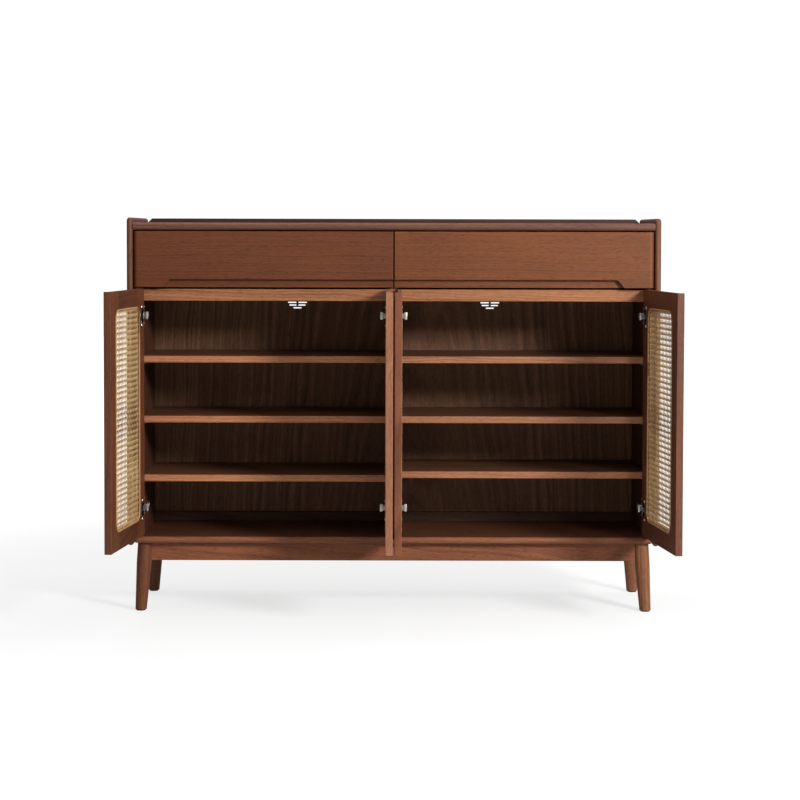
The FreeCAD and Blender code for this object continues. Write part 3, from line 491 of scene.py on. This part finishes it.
    # The slanting strands cross half-way between the pairs' crossings.
    for sense in (1.0, -1.0):
        fast = add(tree, "ShaderNodeMath", {
            0: turns["X"][2], 1: given["Slant Wave"]}, operation="MULTIPLY")
        rise = add(tree, "ShaderNodeMath", {0: fast, 1: sense}, operation="MULTIPLY")
        ends = []
        for way in (-1.0, 1.0):
            run = add(tree, "ShaderNodeMath", {0: half, 1: way}, operation="MULTIPLY")
            cross = add(tree, "ShaderNodeMath", {0: run, 1: sense}, operation="MULTIPLY")
            ends.append(add(tree, "ShaderNodeCombineXYZ", {0: cross, 1: run}))
        line = add(tree, "GeometryNodeCurvePrimitiveLine", {"Start": ends[0], "End": ends[1]})
        sampled = add(tree, "GeometryNodeResampleCurve", {
            "Curve": line, "Count": WEAVE_REACH * 8 + 1})
        gap = add(tree, "ShaderNodeMath", {0: given["Pitch"], 1: 0.5}, operation="MULTIPLY")
        spread = add(tree, "ShaderNodeCombineXYZ", {0: gap})
        seed = add(tree, "ShaderNodeMath", {0: given["Seed"], 1: float(next(seeds))})
        strands = laid(sampled, spread, 0.0, seed)
        made = woven(strands, rise, sections[1])
        tree.links.new(made.outputs[0], join.inputs[0])

    smooth = add(tree, "GeometryNodeSetShadeSmooth", {"Geometry": join})
    finish_shape(tree, smooth, given["Material"])
    return tree


def reed_ring():
    """Oval bead following a rectangle with rounded corners, drawn in XY."""
    sizes = ("Width", "Height", "Corner", "Reed Width", "Reed Height")
    tree, given = new_group("reed bead", "GeometryNodeTree",
                            dict.fromkeys(sizes, "Float") | {"Material": "Material"},
                            {"Geometry": "Geometry"})
    outline = add(tree, "GeometryNodeCurvePrimitiveQuadrilateral", {
        "Width": given["Width"], "Height": given["Height"]})
    rounded = add(tree, "GeometryNodeFilletCurve", {
        "Curve": outline, "Count": 10, "Radius": given["Corner"]}, mode="POLY")
    level = add(tree, "GeometryNodeSetCurveNormal", {"Curve": rounded}, mode="Z_UP")
    travel = add(tree, "GeometryNodeSplineParameter")
    marked = add(tree, "GeometryNodeStoreNamedAttribute", {
        "Geometry": level, "Name": "along", "Value": travel.outputs["Length"]}, data_type="FLOAT",
        domain="POINT")
    ring = add(tree, "GeometryNodeCurvePrimitiveCircle", {"Resolution": 14, "Radius": 0.5})
    around = add(tree, "GeometryNodeSplineParameter")
    girth = add(tree, "GeometryNodeStoreNamedAttribute", {
        "Geometry": ring, "Name": "around", "Value": around.outputs["Factor"]}, data_type="FLOAT",
        domain="POINT")
    size = add(tree, "ShaderNodeCombineXYZ", {
        0: given["Reed Width"], 1: given["Reed Height"], 2: 1.0})
    section = add(tree, "GeometryNodeTransform", {"Geometry": girth, "Scale": size})
    bead = add(tree, "GeometryNodeCurveToMesh", {"Curve": marked, "Profile Curve": section})
    smooth = add(tree, "GeometryNodeSetShadeSmooth", {"Geometry": bead})
    finish_shape(tree, smooth, given["Material"])
    return tree


def screw_tree():
    """Countersunk screws with a cross recess, one on each point, facing along its own direction."""
    sizes = ("Head Radius", "Head Height", "Shank Radius", "Length", "Recess")
    tree, given = new_group(
        "cross screws", "GeometryNodeTree",
        {"Geometry": "Geometry"} | dict.fromkeys(sizes, "Float") | {"Material": "Material"},
        {"Geometry": "Geometry"})
    crown = add(tree, "ShaderNodeMath", {0: given["Head Radius"], 1: 0.72}, operation="MULTIPLY")
    head = add(tree, "GeometryNodeMeshCone", {
        "Vertices": 16, "Radius Top": crown, "Radius Bottom": given["Head Radius"],
        "Depth": given["Head Height"]})
    long_cut = add(tree, "ShaderNodeMath", {0: given["Head Radius"], 1: 1.15}, operation="MULTIPLY")
    short_cut = add(tree, "ShaderNodeMath", {
        0: given["Head Radius"], 1: 0.26}, operation="MULTIPLY")
    cutters = []
    for first, second in ((long_cut, short_cut), (short_cut, long_cut)):
        depth = add(tree, "ShaderNodeMath", {0: given["Recess"], 1: 2.0}, operation="MULTIPLY")
        size = add(tree, "ShaderNodeCombineXYZ", {0: first, 1: second, 2: depth})
        cutter = add(tree, "GeometryNodeMeshCube", {"Size": size})
        top = add(tree, "ShaderNodeCombineXYZ", {2: given["Head Height"]})
        cutters.append(add(tree, "GeometryNodeTransform", {"Geometry": cutter, "Translation": top}))
    recessed = add(tree, "GeometryNodeMeshBoolean", {0: head}, operation="DIFFERENCE")
    for cutter in cutters:
        tree.links.new(cutter.outputs[0], recessed.inputs[1])
    shank = add(tree, "GeometryNodeMeshCylinder", {
        "Vertices": 10, "Radius": given["Shank Radius"], "Depth": given["Length"]})
    below = add(tree, "ShaderNodeMath", {0: given["Length"], 1: -0.5}, operation="MULTIPLY")
    sunk = add(tree, "ShaderNodeCombineXYZ", {2: below})
    lowered = add(tree, "GeometryNodeTransform", {"Geometry": shank, "Translation": sunk})
    whole = add(tree, "GeometryNodeJoinGeometry")
    tree.links.new(lowered.outputs[0], whole.inputs[0])
    tree.links.new(recessed.outputs[0], whole.inputs[0])
    facing = add(tree, "GeometryNodeInputNamedAttribute", {"Name": "facing"},
                 data_type="FLOAT_VECTOR")
    spin = add(tree, "GeometryNodeInputNamedAttribute", {"Name": "spin"}, data_type="FLOAT")
    turned = add(tree, "ShaderNodeCombineXYZ", {2: spin})
    first_turn = add(tree, "FunctionNodeEulerToRotation", {0: turned})
    aimed = add(tree, "FunctionNodeAlignRotationToVector", {"Vector": facing}, axis="Z")
    both = add(tree, "FunctionNodeRotateRotation", {
        0: aimed, 1: first_turn}, rotation_space="LOCAL")
    placed = add(tree, "GeometryNodeInstanceOnPoints", {
        "Points": given["Geometry"], "Instance": whole, "Rotation": both})
    finish_shape(tree, placed, given["Material"])
    return tree


def grown(name, tree, values, seed_mesh=None, place=None):
    """Runs a geometry tree and returns a plain object with its place in its mesh."""
    maker = new_object(name + "_maker", seed_mesh or bpy.data.meshes.new(name + "_seed"))
    modifier = maker.modifiers.new("tree", "NODES")
    modifier.node_group = tree
    for item in tree.interface.items_tree:
        if item.in_out == "INPUT" and item.name in values:
            modifier[item.identifier] = values[item.name]
    depsgraph = bpy.context.evaluated_depsgraph_get()
    mesh = bpy.data.meshes.new_from_object(maker.evaluated_get(depsgraph), depsgraph=depsgraph)
    bpy.data.objects.remove(maker)
    mesh.name = name
    if place is not None:
        mesh.transform(place)
    piece = new_object(name, mesh)
    return piece


WEAVE = cane_weave()
BEAD = reed_ring()
SCREWS = screw_tree()


# ---- where things are on a door --------------------------------------------------------------
def closing(body):
    """Takes a door from its open rest place to closed."""
    joint = HINGES[body]
    pivot = Vector(joint["pos_m"])
    turn = Matrix.Rotation(math.radians(joint["range_deg"][0]), 4, Vector(joint["axis"]))
    return Matrix.Translation(pivot) @ turn @ Matrix.Translation(-pivot)


def limits(points):
    """Lowest and highest corner of some points."""
    low = Vector(min(p[i] for p in points) for i in range(3))
    high = Vector(max(p[i] for p in points) for i in range(3))
    return low, high


def closed_box(node, body):
    shut = closing(body)
    return limits([shut @ v.co for v in NODES[node].data.vertices])


def loose_boxes(node, matrix=Matrix.Identity(4)):
    """The box of each separate solid of a node."""
    work = bmesh.new()
    work.from_mesh(NODES[node].data)
    bmesh.ops.remove_doubles(work, verts=work.verts, dist=0.01 * MM)
    work.verts.ensure_lookup_table()
    seen, boxes = set(), []
    for vert in work.verts:
        if vert in seen:
            continue
        stack, island = [vert], []
        seen.add(vert)
        while stack:
            here = stack.pop()
            island.append(matrix @ here.co)
            for edge in here.link_edges:
                other = edge.other_vert(here)
                if other not in seen:
                    seen.add(other)
                    stack.append(other)
        boxes.append(limits(island))
    work.free()
    return boxes


def screw_points(name, places):
    """Points for the screw tree: where each head sits, its facing and how far it was turned."""
    mesh = bpy.data.meshes.new(name + "_points")
    mesh.from_pydata([at for at, _ in places], [], [])
    mesh.attributes.new("facing", "FLOAT_VECTOR", "POINT")
    mesh.attributes.new("spin", "FLOAT", "POINT")
    for index, (_, way) in enumerate(places):
        mesh.attributes["facing"].data[index].vector = way
        mesh.attributes["spin"].data[index].value = 0.4 + 1.7 * index
    return mesh


def make_screws(name, places, sizes, body, replaced, place=None, metal=None):
    head_radius, head_height, shank_radius, length = (size * MM for size in sizes)
    piece = grown(name, SCREWS, {
        "Head Radius": head_radius, "Head Height": head_height, "Shank Radius": shank_radius,
        "Length": length, "Recess": SCREW_RECESS * MM, "Material": metal or NICKEL},
        screw_points(name, places), place)
    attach(piece, body)
    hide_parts(replaced)
    return piece


# ---- hinge pieces ---------------------------------------------------------------------------
CUP_RADIUS = 17.5
CUP_DEEP = 11.5
CUP_WALL = 1.0
CUP_FROM_EDGE = 4.5            # the cup's rim, from the door's hinge edge
CUP_FACETS = 72
FLANGE = 1.2                   # the flange's thickness
FLANGE_ROUND = 1.0             # how far it stands out round the cup
FLANGE_FILLET = 9.5            # radius of the ear where it leaves the cup
EAR = (9.5, 24.0, 6.4)         # ear's screw, from the cup's centre across and along, and its radius
EAR_STEPS = 12
LINK = (20.0, 6.4, 5.4, 2.0)   # the cup's link: length, half height, depth and corner
LINK_FROM_EDGE = 4.2
LINK_SUNK = 5.0                # below the door's inner face
HINGE_SCREW = (3.6, 1.5, 1.7)  # head radius, head height and shank radius
# On the case, from the board's face, from the hinge's middle, or back from the arm's tip.
LEVER_THICK = 13.0             # the arm's waisted end
FOOT = (2.0, 6.5, 16.0)        # the arm's foot: thickness, half height, how far back it starts
CHANNEL = (11.6, 13.0)         # the channel's top, its lower and upper face
CHANNEL_WALL = (2.0, 12.0)     # its side walls' foot and top
CHANNEL_HALF = (5.8, 7.4)      # its side walls, inner and outer face
PLATE_DATUM = 2.4              # the point that the plate and screws are set out from
WING = (8.0, 7.0, 2.0)         # the mounting plate's half width, corner and thickness
WING_BACK = 37.0               # its middle, behind that point
ADJUSTERS_BACK = (24.0, 48.0)
ADJUSTER = ((3.6, 0.0), (3.6, 0.6), (3.1, 1.0), (1.2, 1.0), (1.0, 0.3))   # its radius and height
ADJUSTER_FACETS = 20
PLATE_SCREWS_APART = 21.0      # half the distance between the plate's screws
SMALLEST_HINGE_PART = 40.0     # anything smaller in a hinge node is a screw


def flange_reach(angle):
    """How far the cup's flange reaches from the cup's centre at an angle."""
    way = Vector((math.cos(angle), math.sin(angle)))
    reach = CUP_RADIUS + FLANGE_ROUND
    for sign in (-1, 1):
        ear = Vector((EAR[0], sign * EAR[1]))
        for step in range(EAR_STEPS + 1):
            part = step / EAR_STEPS
            centre = ear * part
            radius = FLANGE_FILLET + (EAR[2] - FLANGE_FILLET) * part
            along = centre.dot(way)
            square = radius ** 2 - centre.length_squared + along ** 2
            if square >= 0:
                reach = max(reach, along + math.sqrt(square))
    return reach


def shell_from_loops(work, loops):
    """Skins rings of the same count, and closes the last one."""
    rings = [[work.verts.new(point) for point in loop] for loop in loops]
    count = len(rings[0])
    for lower, upper in zip(rings, rings[1:]):
        for i in range(count):
            j = (i + 1) % count
            work.faces.new((lower[i], lower[j], upper[j], upper[i]))
    work.faces.new(rings[-1])


def cup_mesh(work, centre, across):
    """Flange with two ears, and the drawn cup below it, in the closed door's place."""
    angles = [2 * math.pi * i / CUP_FACETS for i in range(CUP_FACETS)]

    def loop(radii, depth):
        return [centre + Vector((across * r * math.cos(a), depth, r * math.sin(a))) * MM
                for r, a in zip(radii, angles)]

    def ring(radius, depth):
        return loop([radius] * CUP_FACETS, depth)

    def rim(inset, depth):
        return loop([flange_reach(a) - inset for a in angles], depth)

    outer, inner = CUP_RADIUS - 0.1, CUP_RADIUS - CUP_WALL
    shell_from_loops(work, [
        ring(outer, 0.0), rim(0.0, 0.0), rim(0.0, 0.8), rim(0.4, FLANGE), ring(inner + 0.8, FLANGE),
        ring(inner + 0.1, FLANGE - 0.4), ring(inner, -1.0), ring(inner, -CUP_DEEP + 2.5),
        ring(inner - 1.6, -CUP_DEEP + 1.2), ring(inner - 3.5, -CUP_DEEP + 0.9)])
    shell_from_loops(work, [
        ring(outer, 0.0), ring(outer, -CUP_DEEP + 2.5), ring(outer - 2.1, -CUP_DEEP + 0.3),
        ring(outer - 3.9, -CUP_DEEP + 0.05)])


def slab(work, outline, thickness, place):
    """A plate of an outline in XZ, thick along Y, put in its place."""
    front = [work.verts.new(place @ Vector((x * MM, 0.0, z * MM))) for x, z in outline]
    back = [work.verts.new(place @ Vector((x * MM, thickness * MM, z * MM))) for x, z in outline]
    work.faces.new(front)
    work.faces.new(list(reversed(back)))
    count = len(outline)
    for i in range(count):
        j = (i + 1) % count
        work.faces.new((front[j], front[i], back[i], back[j]))


def plate_outline(x0, x1, z0, z1):
    """Rectangle, anticlockwise."""
    return [(x0, z0), (x1, z0), (x1, z1), (x0, z1)]


def round_outline(x0, x1, z0, z1, radius, steps=5):
    """Rectangle with rounded corners, anticlockwise."""
    points = []
    for cx, cz, start in ((x1 - radius, z1 - radius, 0), (x0 + radius, z1 - radius, 90),
                          (x0 + radius, z0 + radius, 180), (x1 - radius, z0 + radius, 270)):
        for step in range(steps + 1):
            angle = math.radians(start + 90 * step / steps)
            points.append((cx + radius * math.cos(angle), cz + radius * math.sin(angle)))
    return points


def mesh_piece(name, work, material, bevel=None):
    """Turns a bmesh into an object with merged points and faces outward."""
    bmesh.ops.remove_doubles(work, verts=work.verts, dist=0.005 * MM)
    bmesh.ops.recalc_face_normals(work, faces=work.faces)
    mesh = bpy.data.meshes.new(name)
    work.to_mesh(mesh)
    work.free()
    mesh.materials.append(material)
    piece = new_object(name, mesh)
    if bevel:
        rounding = piece.modifiers.new("rounding", "BEVEL")
        rounding.width = bevel * MM
        rounding.segments = 2
        rounding.limit_method = "ANGLE"
        rounding.angle_limit = math.radians(35)
    for polygon in mesh.polygons:
        polygon.use_smooth = True
    return piece


# The arm seen from the front: wide at the door's end and at its foot, with a waist between.
ARM_SECTION = [(2.0, 8.6), (4.0, 8.4), (6.2, 6.6), (9.0, 5.6), (11.6, 6.8), (13.6, 9.6),
               (16.4, 9.9), (17.2, 8.8)]


def arm_mesh(work, box, face_x, inward, reach):
    """The arm in the frame's box: its foot on the board, its channel and its waisted end."""
    low, high = box
    z = (low.z + high.z) / 2
    tip, end = low.y, high.y

    def there(y):
        flip = Matrix.Diagonal(Vector((inward, 1.0, 1.0, 1.0)))
        return Matrix.Translation(Vector((face_x, y, z))) @ flip

    section = [(2.0 + (x - 2.0) * reach, h) for x, h in ARM_SECTION]
    outline = section + [(x, -h) for x, h in reversed(section)]
    length = (end - tip) / MM
    slab(work, outline, LEVER_THICK, there(tip))
    slab(work, plate_outline(0.0, FOOT[0], -FOOT[1], FOOT[1]), length - FOOT[2],
         there(tip + FOOT[2] * MM))
    # Two stamped side walls and the top of the channel.
    inner, outer = CHANNEL_HALF
    for strip in (plate_outline(*CHANNEL_WALL, -outer, -inner),
                  plate_outline(*CHANNEL_WALL, inner, outer),
                  plate_outline(*CHANNEL, -outer, outer)):
        slab(work, strip, length - LEVER_THICK, there(tip + LEVER_THICK * MM))


def wing_mesh(work, box, face_x, inward):
    """The mounting plate's two wings, lying on the board."""
    low, high = box
    z = (low.z + high.z) / 2
    y = low.y + (PLATE_DATUM + WING_BACK) * MM
    half = (high.z - low.z) / MM / 2
    outline = round_outline(-WING[0], WING[0], -half, half, WING[1])
    # The outline is drawn in XZ and stood up against the board.
    stand = Matrix.Rotation(-inward * math.pi / 2, 4, "Z")
    place = Matrix.Translation(Vector((face_x, y, z))) @ stand
    slab(work, outline, WING[2], place)


def adjusters_mesh(work, box, face_x, inward):
    """The heads of the arm's two adjusting screws."""
    low, high = box
    z = (low.z + high.z) / 2
    turn = Matrix.Rotation(inward * math.pi / 2, 4, "Y")
    angles = [2 * math.pi * i / ADJUSTER_FACETS for i in range(ADJUSTER_FACETS)]
    for back in ADJUSTERS_BACK:
        y = low.y + (PLATE_DATUM + back) * MM
        place = Matrix.Translation(Vector((face_x + inward * CHANNEL[1] * MM, y, z))) @ turn
        shell_from_loops(work, [
            [place @ (Vector((radius * math.cos(a), radius * math.sin(a), height)) * MM)
             for a in angles] for radius, height in ADJUSTER])


# ---- doors ----------------------------------------------------------------------------------
# Each door's factors are painted light and painted shade for how its faces turn to the key lamp.
door_tones_and_light = {
    ("outer", "left"): ((0.58, 0.52, 0.46), (0.40, 0.35, 0.30)),
    ("outer", "right"): ((0.58, 0.54, 0.54), (0.50, 0.46, 0.45)),
    ("centre", "left"): ((1.40, 1.60, 1.85), (1.0, 1.0, 1.0)),
    ("centre", "right"): ((0.82, 0.74, 0.74), (0.82, 0.74, 0.74))}

for (which, side), (stile_tone_and_light, rail_tone_and_light) in door_tones_and_light.items():
    body = f"door_{which}_{side}"
    shut = closing(body)
    opened = shut.inverted()
    joint = HINGES[body]
    swing = math.radians(-joint["range_deg"][0]) * joint["axis"][2]

    board(f"{body}_stiles", WALNUT, ALONG_Z, stile_tone_and_light)
    board(f"{body}_rails", WALNUT, (0.0, 0.0, -swing), rail_tone_and_light)

    stile_low, stile_high = closed_box(f"{body}_stiles", body)
    pane_low, pane_high = closed_box(f"{body}_cane_panel", body)
    outer_face = stile_low.y
    middle = (pane_low + pane_high) / 2
    pane = pane_high - pane_low
    upright = Matrix.Rotation(math.pi / 2, 4, "X")

    def on_door(depth):
        at = Vector((middle.x, outer_face + depth * MM, middle.z))
        return opened @ Matrix.Translation(at) @ upright

    cane = grown(f"{body}_woven_cane", WEAVE, {
        "Width": pane.x, "Height": pane.z, "Corner": (OPENING_CORNER + OPENING_LEDGE) * MM,
        "Pitch": CANE_PITCH * MM, "Pair Gap": CANE_PAIR * MM, "Strand Width": CANE_STRAND[0] * MM,
        "Strand Thickness": CANE_STRAND[1] * MM, "Slant Width": CANE_SLANT[0] * MM,
        "Slant Thickness": CANE_SLANT[1] * MM, "Wave": CANE_WAVE * MM,
        "Slant Wave": CANE_SLANT_WAVE * MM,
        "Seed": 10 * (1 + list(door_tones_and_light).index((which, side))),
        "Material": CANE}, place=on_door(CANE_DEPTH))
    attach(cane, body)
    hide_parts(f"{body}_cane_panel")

    bead = grown(f"{body}_reed_bead", BEAD, {
        "Width": pane.x - REED[0] * MM, "Height": pane.z - REED[0] * MM,
        "Corner": (OPENING_CORNER + OPENING_LEDGE - REED[0] / 2) * MM, "Reed Width": REED[0] * MM,
        "Reed Height": REED[1] * MM, "Material": REED_BEAD}, place=on_door(REED_DEPTH))
    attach(bead, body)
    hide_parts(f"{body}_cane_spline")

    # Hinge cups: the widest loose solids of the node are the cups, the others their screws.
    work = bmesh.new()
    screw_places = []
    hinge_x = min(stile_low.x, stile_high.x, key=lambda x: abs(x - joint["pos_m"][0]))
    across = 1.0 if hinge_x == stile_low.x else -1.0
    for low, high in loose_boxes(f"{body}_hinge_cups", shut):
        if high.z - low.z > SMALLEST_HINGE_PART * MM:
            z = (low.z + high.z) / 2
            centre = Vector((hinge_x + across * (CUP_FROM_EDGE + CUP_RADIUS) * MM, stile_high.y, z))
            cup_mesh(work, centre, across)
            for sign in (-1, 1):
                screw_places.append((centre + Vector((across * EAR[0], FLANGE, sign * EAR[1])) * MM,
                                     Vector((0.0, 1.0, 0.0))))
            # Link from the cup's bowl to the arm.
            link_x = hinge_x + across * LINK_FROM_EDGE * MM
            link = Matrix.Translation(Vector((link_x, stile_high.y - LINK_SUNK * MM, z)))
            ends = sorted((0.0, across * LINK[0]))
            slab(work, round_outline(*ends, -LINK[1], LINK[1], LINK[3]), LINK[2], link)
    cups = mesh_piece(f"{body}_hinge_cup_plates", work, NICKEL_CUP_PAINTED_DARK, bevel=0.25)
    cups.data.transform(opened)
    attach(cups, body)
    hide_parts(f"{body}_hinge_cups")
    make_screws(f"{body}_hinge_cup_screws", screw_places, (*HINGE_SCREW, 10.0), body,
                f"{body}_hinge_cups", opened)

# ---- hinge arms on the carcass ---------------------------------------------------------------
# Each board's face, which way is into the bay, and how much longer the arm's end is cranked there.
board_faces = [
    (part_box("inner_side_left")[1].x, 1.0, 1.0), (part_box("centre_divider")[0].x, -1.0, 1.6),
    (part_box("centre_divider")[1].x, 1.0, 1.6), (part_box("inner_side_right")[0].x, -1.0, 1.0)]
arm_work, wing_work = bmesh.new(), bmesh.new()
arm_screws = []
for box in loose_boxes("hinge_arms"):
    low, high = box
    if high.y - low.y < SMALLEST_HINGE_PART * MM:
        continue
    face_x, inward, cranked = min(board_faces,
                                  key=lambda f: min(abs(low.x - f[0]), abs(high.x - f[0])))
    arm_mesh(arm_work, box, face_x, inward, cranked)
    wing_mesh(wing_work, box, face_x, inward)
    adjusters_mesh(arm_work, box, face_x, inward)
    middle_z = (low.z + high.z) / 2
    for sign in (-1, 1):
        arm_screws.append((Vector((face_x + inward * WING[2] * MM,
                                   low.y + (PLATE_DATUM + WING_BACK) * MM,
                                   middle_z + sign * PLATE_SCREWS_APART * MM)),
                           Vector((inward, 0.0, 0.0))))
for name, work, rounding in (("hinge_arm_levers", arm_work, 0.5),
                             ("hinge_mounting_plates", wing_work, 0.4)):
    piece = mesh_piece(name, work, NICKEL, bevel=rounding)
    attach(piece, "carcass")
    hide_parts("hinge_arms")
make_screws("hinge_arm_screws", arm_screws, (*HINGE_SCREW, 9.0), "carcass",
            "hinge_arms")

# ---- screws in the back and under the bottom --------------------------------------------------
back_places, bottom_places = [], []
for low, high in loose_boxes("panel_screws"):
    middle = (low + high) / 2
    if high.y - low.y > high.z - low.z:
        back_places.append((Vector((middle.x, high.y - 1.0 * MM, middle.z)),
                            Vector((0.0, 1.0, 0.0))))
    else:
        bottom_places.append((Vector((middle.x, middle.y, low.z + 1.5 * MM)),
                              Vector((0.0, 0.0, -1.0))))
make_screws("back_panel_screws", back_places, (3.5, 1.5, 1.7, 18.0), "carcass",
            "panel_screws", metal=ZINC)
make_screws("bottom_board_screws", bottom_places, (5.0, 1.8, 2.4, 40.0), "carcass",
            "panel_screws", metal=ZINC)


# ---- floor, light and camera -----------------------------------------------------------------
def studio_floor():
    """White paper sweep: matt, near-white, with the faintest mottle."""
    material, tree = new_material("white_paper_sweep")
    place = add(tree, "ShaderNodeTexCoord").outputs["Object"]
    mottle = add(tree, "ShaderNodeTexNoise", {"Vector": place, "Scale": 3.0, "Detail": 2.0})
    tone = add(tree, "ShaderNodeMix", {
        0: mottle, 6: linear("#8d8d8d"), 7: linear("#919191")}, data_type="RGBA")
    # The sweep is lit evenly from below, and brightens away from the cabinet until it is white.
    away = add(tree, "ShaderNodeVectorMath", {0: place}, operation="LENGTH")
    glow = add(tree, "ShaderNodeMapRange", {
        "Value": away.outputs["Value"], "From Min": 1.0, "From Max": 3.4, "To Min": 0.70,
        "To Max": 1.05}, interpolation_type="SMOOTHSTEP")
    seen_here = add(tree, "ShaderNodeLightPath").outputs["Is Camera Ray"]
    strength = add(tree, "ShaderNodeMix", {0: seen_here, 2: 0.20, 3: glow}, data_type="FLOAT")
    shader = add(tree, "ShaderNodeBsdfPrincipled", {
        "Base Color": tone.outputs[2], "Roughness": 0.9, "Specular IOR Level": 0.1,
        "Emission Color": (1.0, 1.0, 1.0, 1.0), "Emission Strength": strength})
    finish_material(tree, shader)
    work = bmesh.new()
    reach = 14.0
    corners = [work.verts.new(Vector((x, y, -0.2 * MM))) for x, y in
               ((-reach, -reach), (reach, -reach), (reach, reach), (-reach, reach))]
    work.faces.new(corners)
    mesh = bpy.data.meshes.new("paper_sweep")
    work.to_mesh(mesh)
    work.free()
    mesh.materials.append(material)
    floor = new_object("paper_sweep", mesh)


def softbox(name, at, aim, size, power, mirrored=True):
    """A soft lamp; one that is not mirrored lights the wood but leaves no shine on it."""
    light = bpy.data.lights.new(name, "AREA")
    light.shape = "RECTANGLE"
    light.size, light.size_y = size
    light.energy = power
    lamp = new_object(name, light)
    lamp.location = at
    lamp.visible_glossy = mirrored
    lamp.rotation_euler = (Vector(aim) - Vector(at)).to_track_quat("-Z", "Y").to_euler()


studio_floor()
softbox("key_softbox", (2.75, -3.4, 2.15), (0.0, 0.0, 0.5), (0.85, 0.85), 210.0)
softbox("low_fill", (-0.4, -6.0, 0.5), (0.0, 0.0, 0.5), (2.2, 0.7), 22.0, mirrored=False)
softbox("overhead_softbox", (0.0, 0.3, 3.4), (0.0, 0.0, 0.0), (3.0, 1.6), 30.0)

world = bpy.data.worlds.new("studio")
bpy.context.scene.world = world
world.use_nodes = True
world.node_tree.nodes.clear()
sky = world.node_tree
seen_white = add(sky, "ShaderNodeBackground", {"Color": (1.0, 1.0, 1.0, 1.0), "Strength": 1.05})
facing = add(sky, "ShaderNodeSeparateXYZ", {0: add(sky, "ShaderNodeTexCoord").outputs["Generated"]})
dome = add(sky, "ShaderNodeMapRange", {
    "Value": facing.outputs["Z"], "From Min": 0.05, "From Max": 0.75, "To Min": 0.21,
    "To Max": 0.75}, interpolation_type="SMOOTHSTEP")
# The room is brighter on the key's side.
side_light = add(sky, "ShaderNodeMapRange", {
    "Value": facing.outputs["X"], "From Min": -0.7, "From Max": 0.7, "To Min": 0.6, "To Max": 1.15})
sky_light = add(sky, "ShaderNodeMath", {0: dome, 1: side_light}, operation="MULTIPLY")
lighting = add(sky, "ShaderNodeBackground", {"Color": (1.0, 1.0, 1.0, 1.0), "Strength": sky_light})
ray = add(sky, "ShaderNodeLightPath")
backdrop = add(sky, "ShaderNodeMixShader", {
    0: ray.outputs["Is Camera Ray"], 1: lighting, 2: seen_white})
add(sky, "ShaderNodeOutputWorld", {"Surface": backdrop})

camera_data = bpy.data.cameras.new("camera")
camera_data.lens = 90.4
camera_data.sensor_width = 36.0
camera_data.shift_x = 0.0119
camera_data.shift_y = -0.0969
camera_data.clip_start, camera_data.clip_end = 0.1, 100.0
camera = new_object("camera", camera_data)
camera.matrix_world = (Matrix.Translation((-0.0086, -5.4133, 0.9909))
                       @ Matrix.Rotation(math.radians(90.0 - 2.498), 4, "X")
                       @ Matrix.Rotation(math.radians(0.138), 4, "Z"))
bpy.context.scene.camera = camera
bpy.context.scene.view_settings.view_transform = "Standard"
bpy.context.scene.view_settings.look = "None"
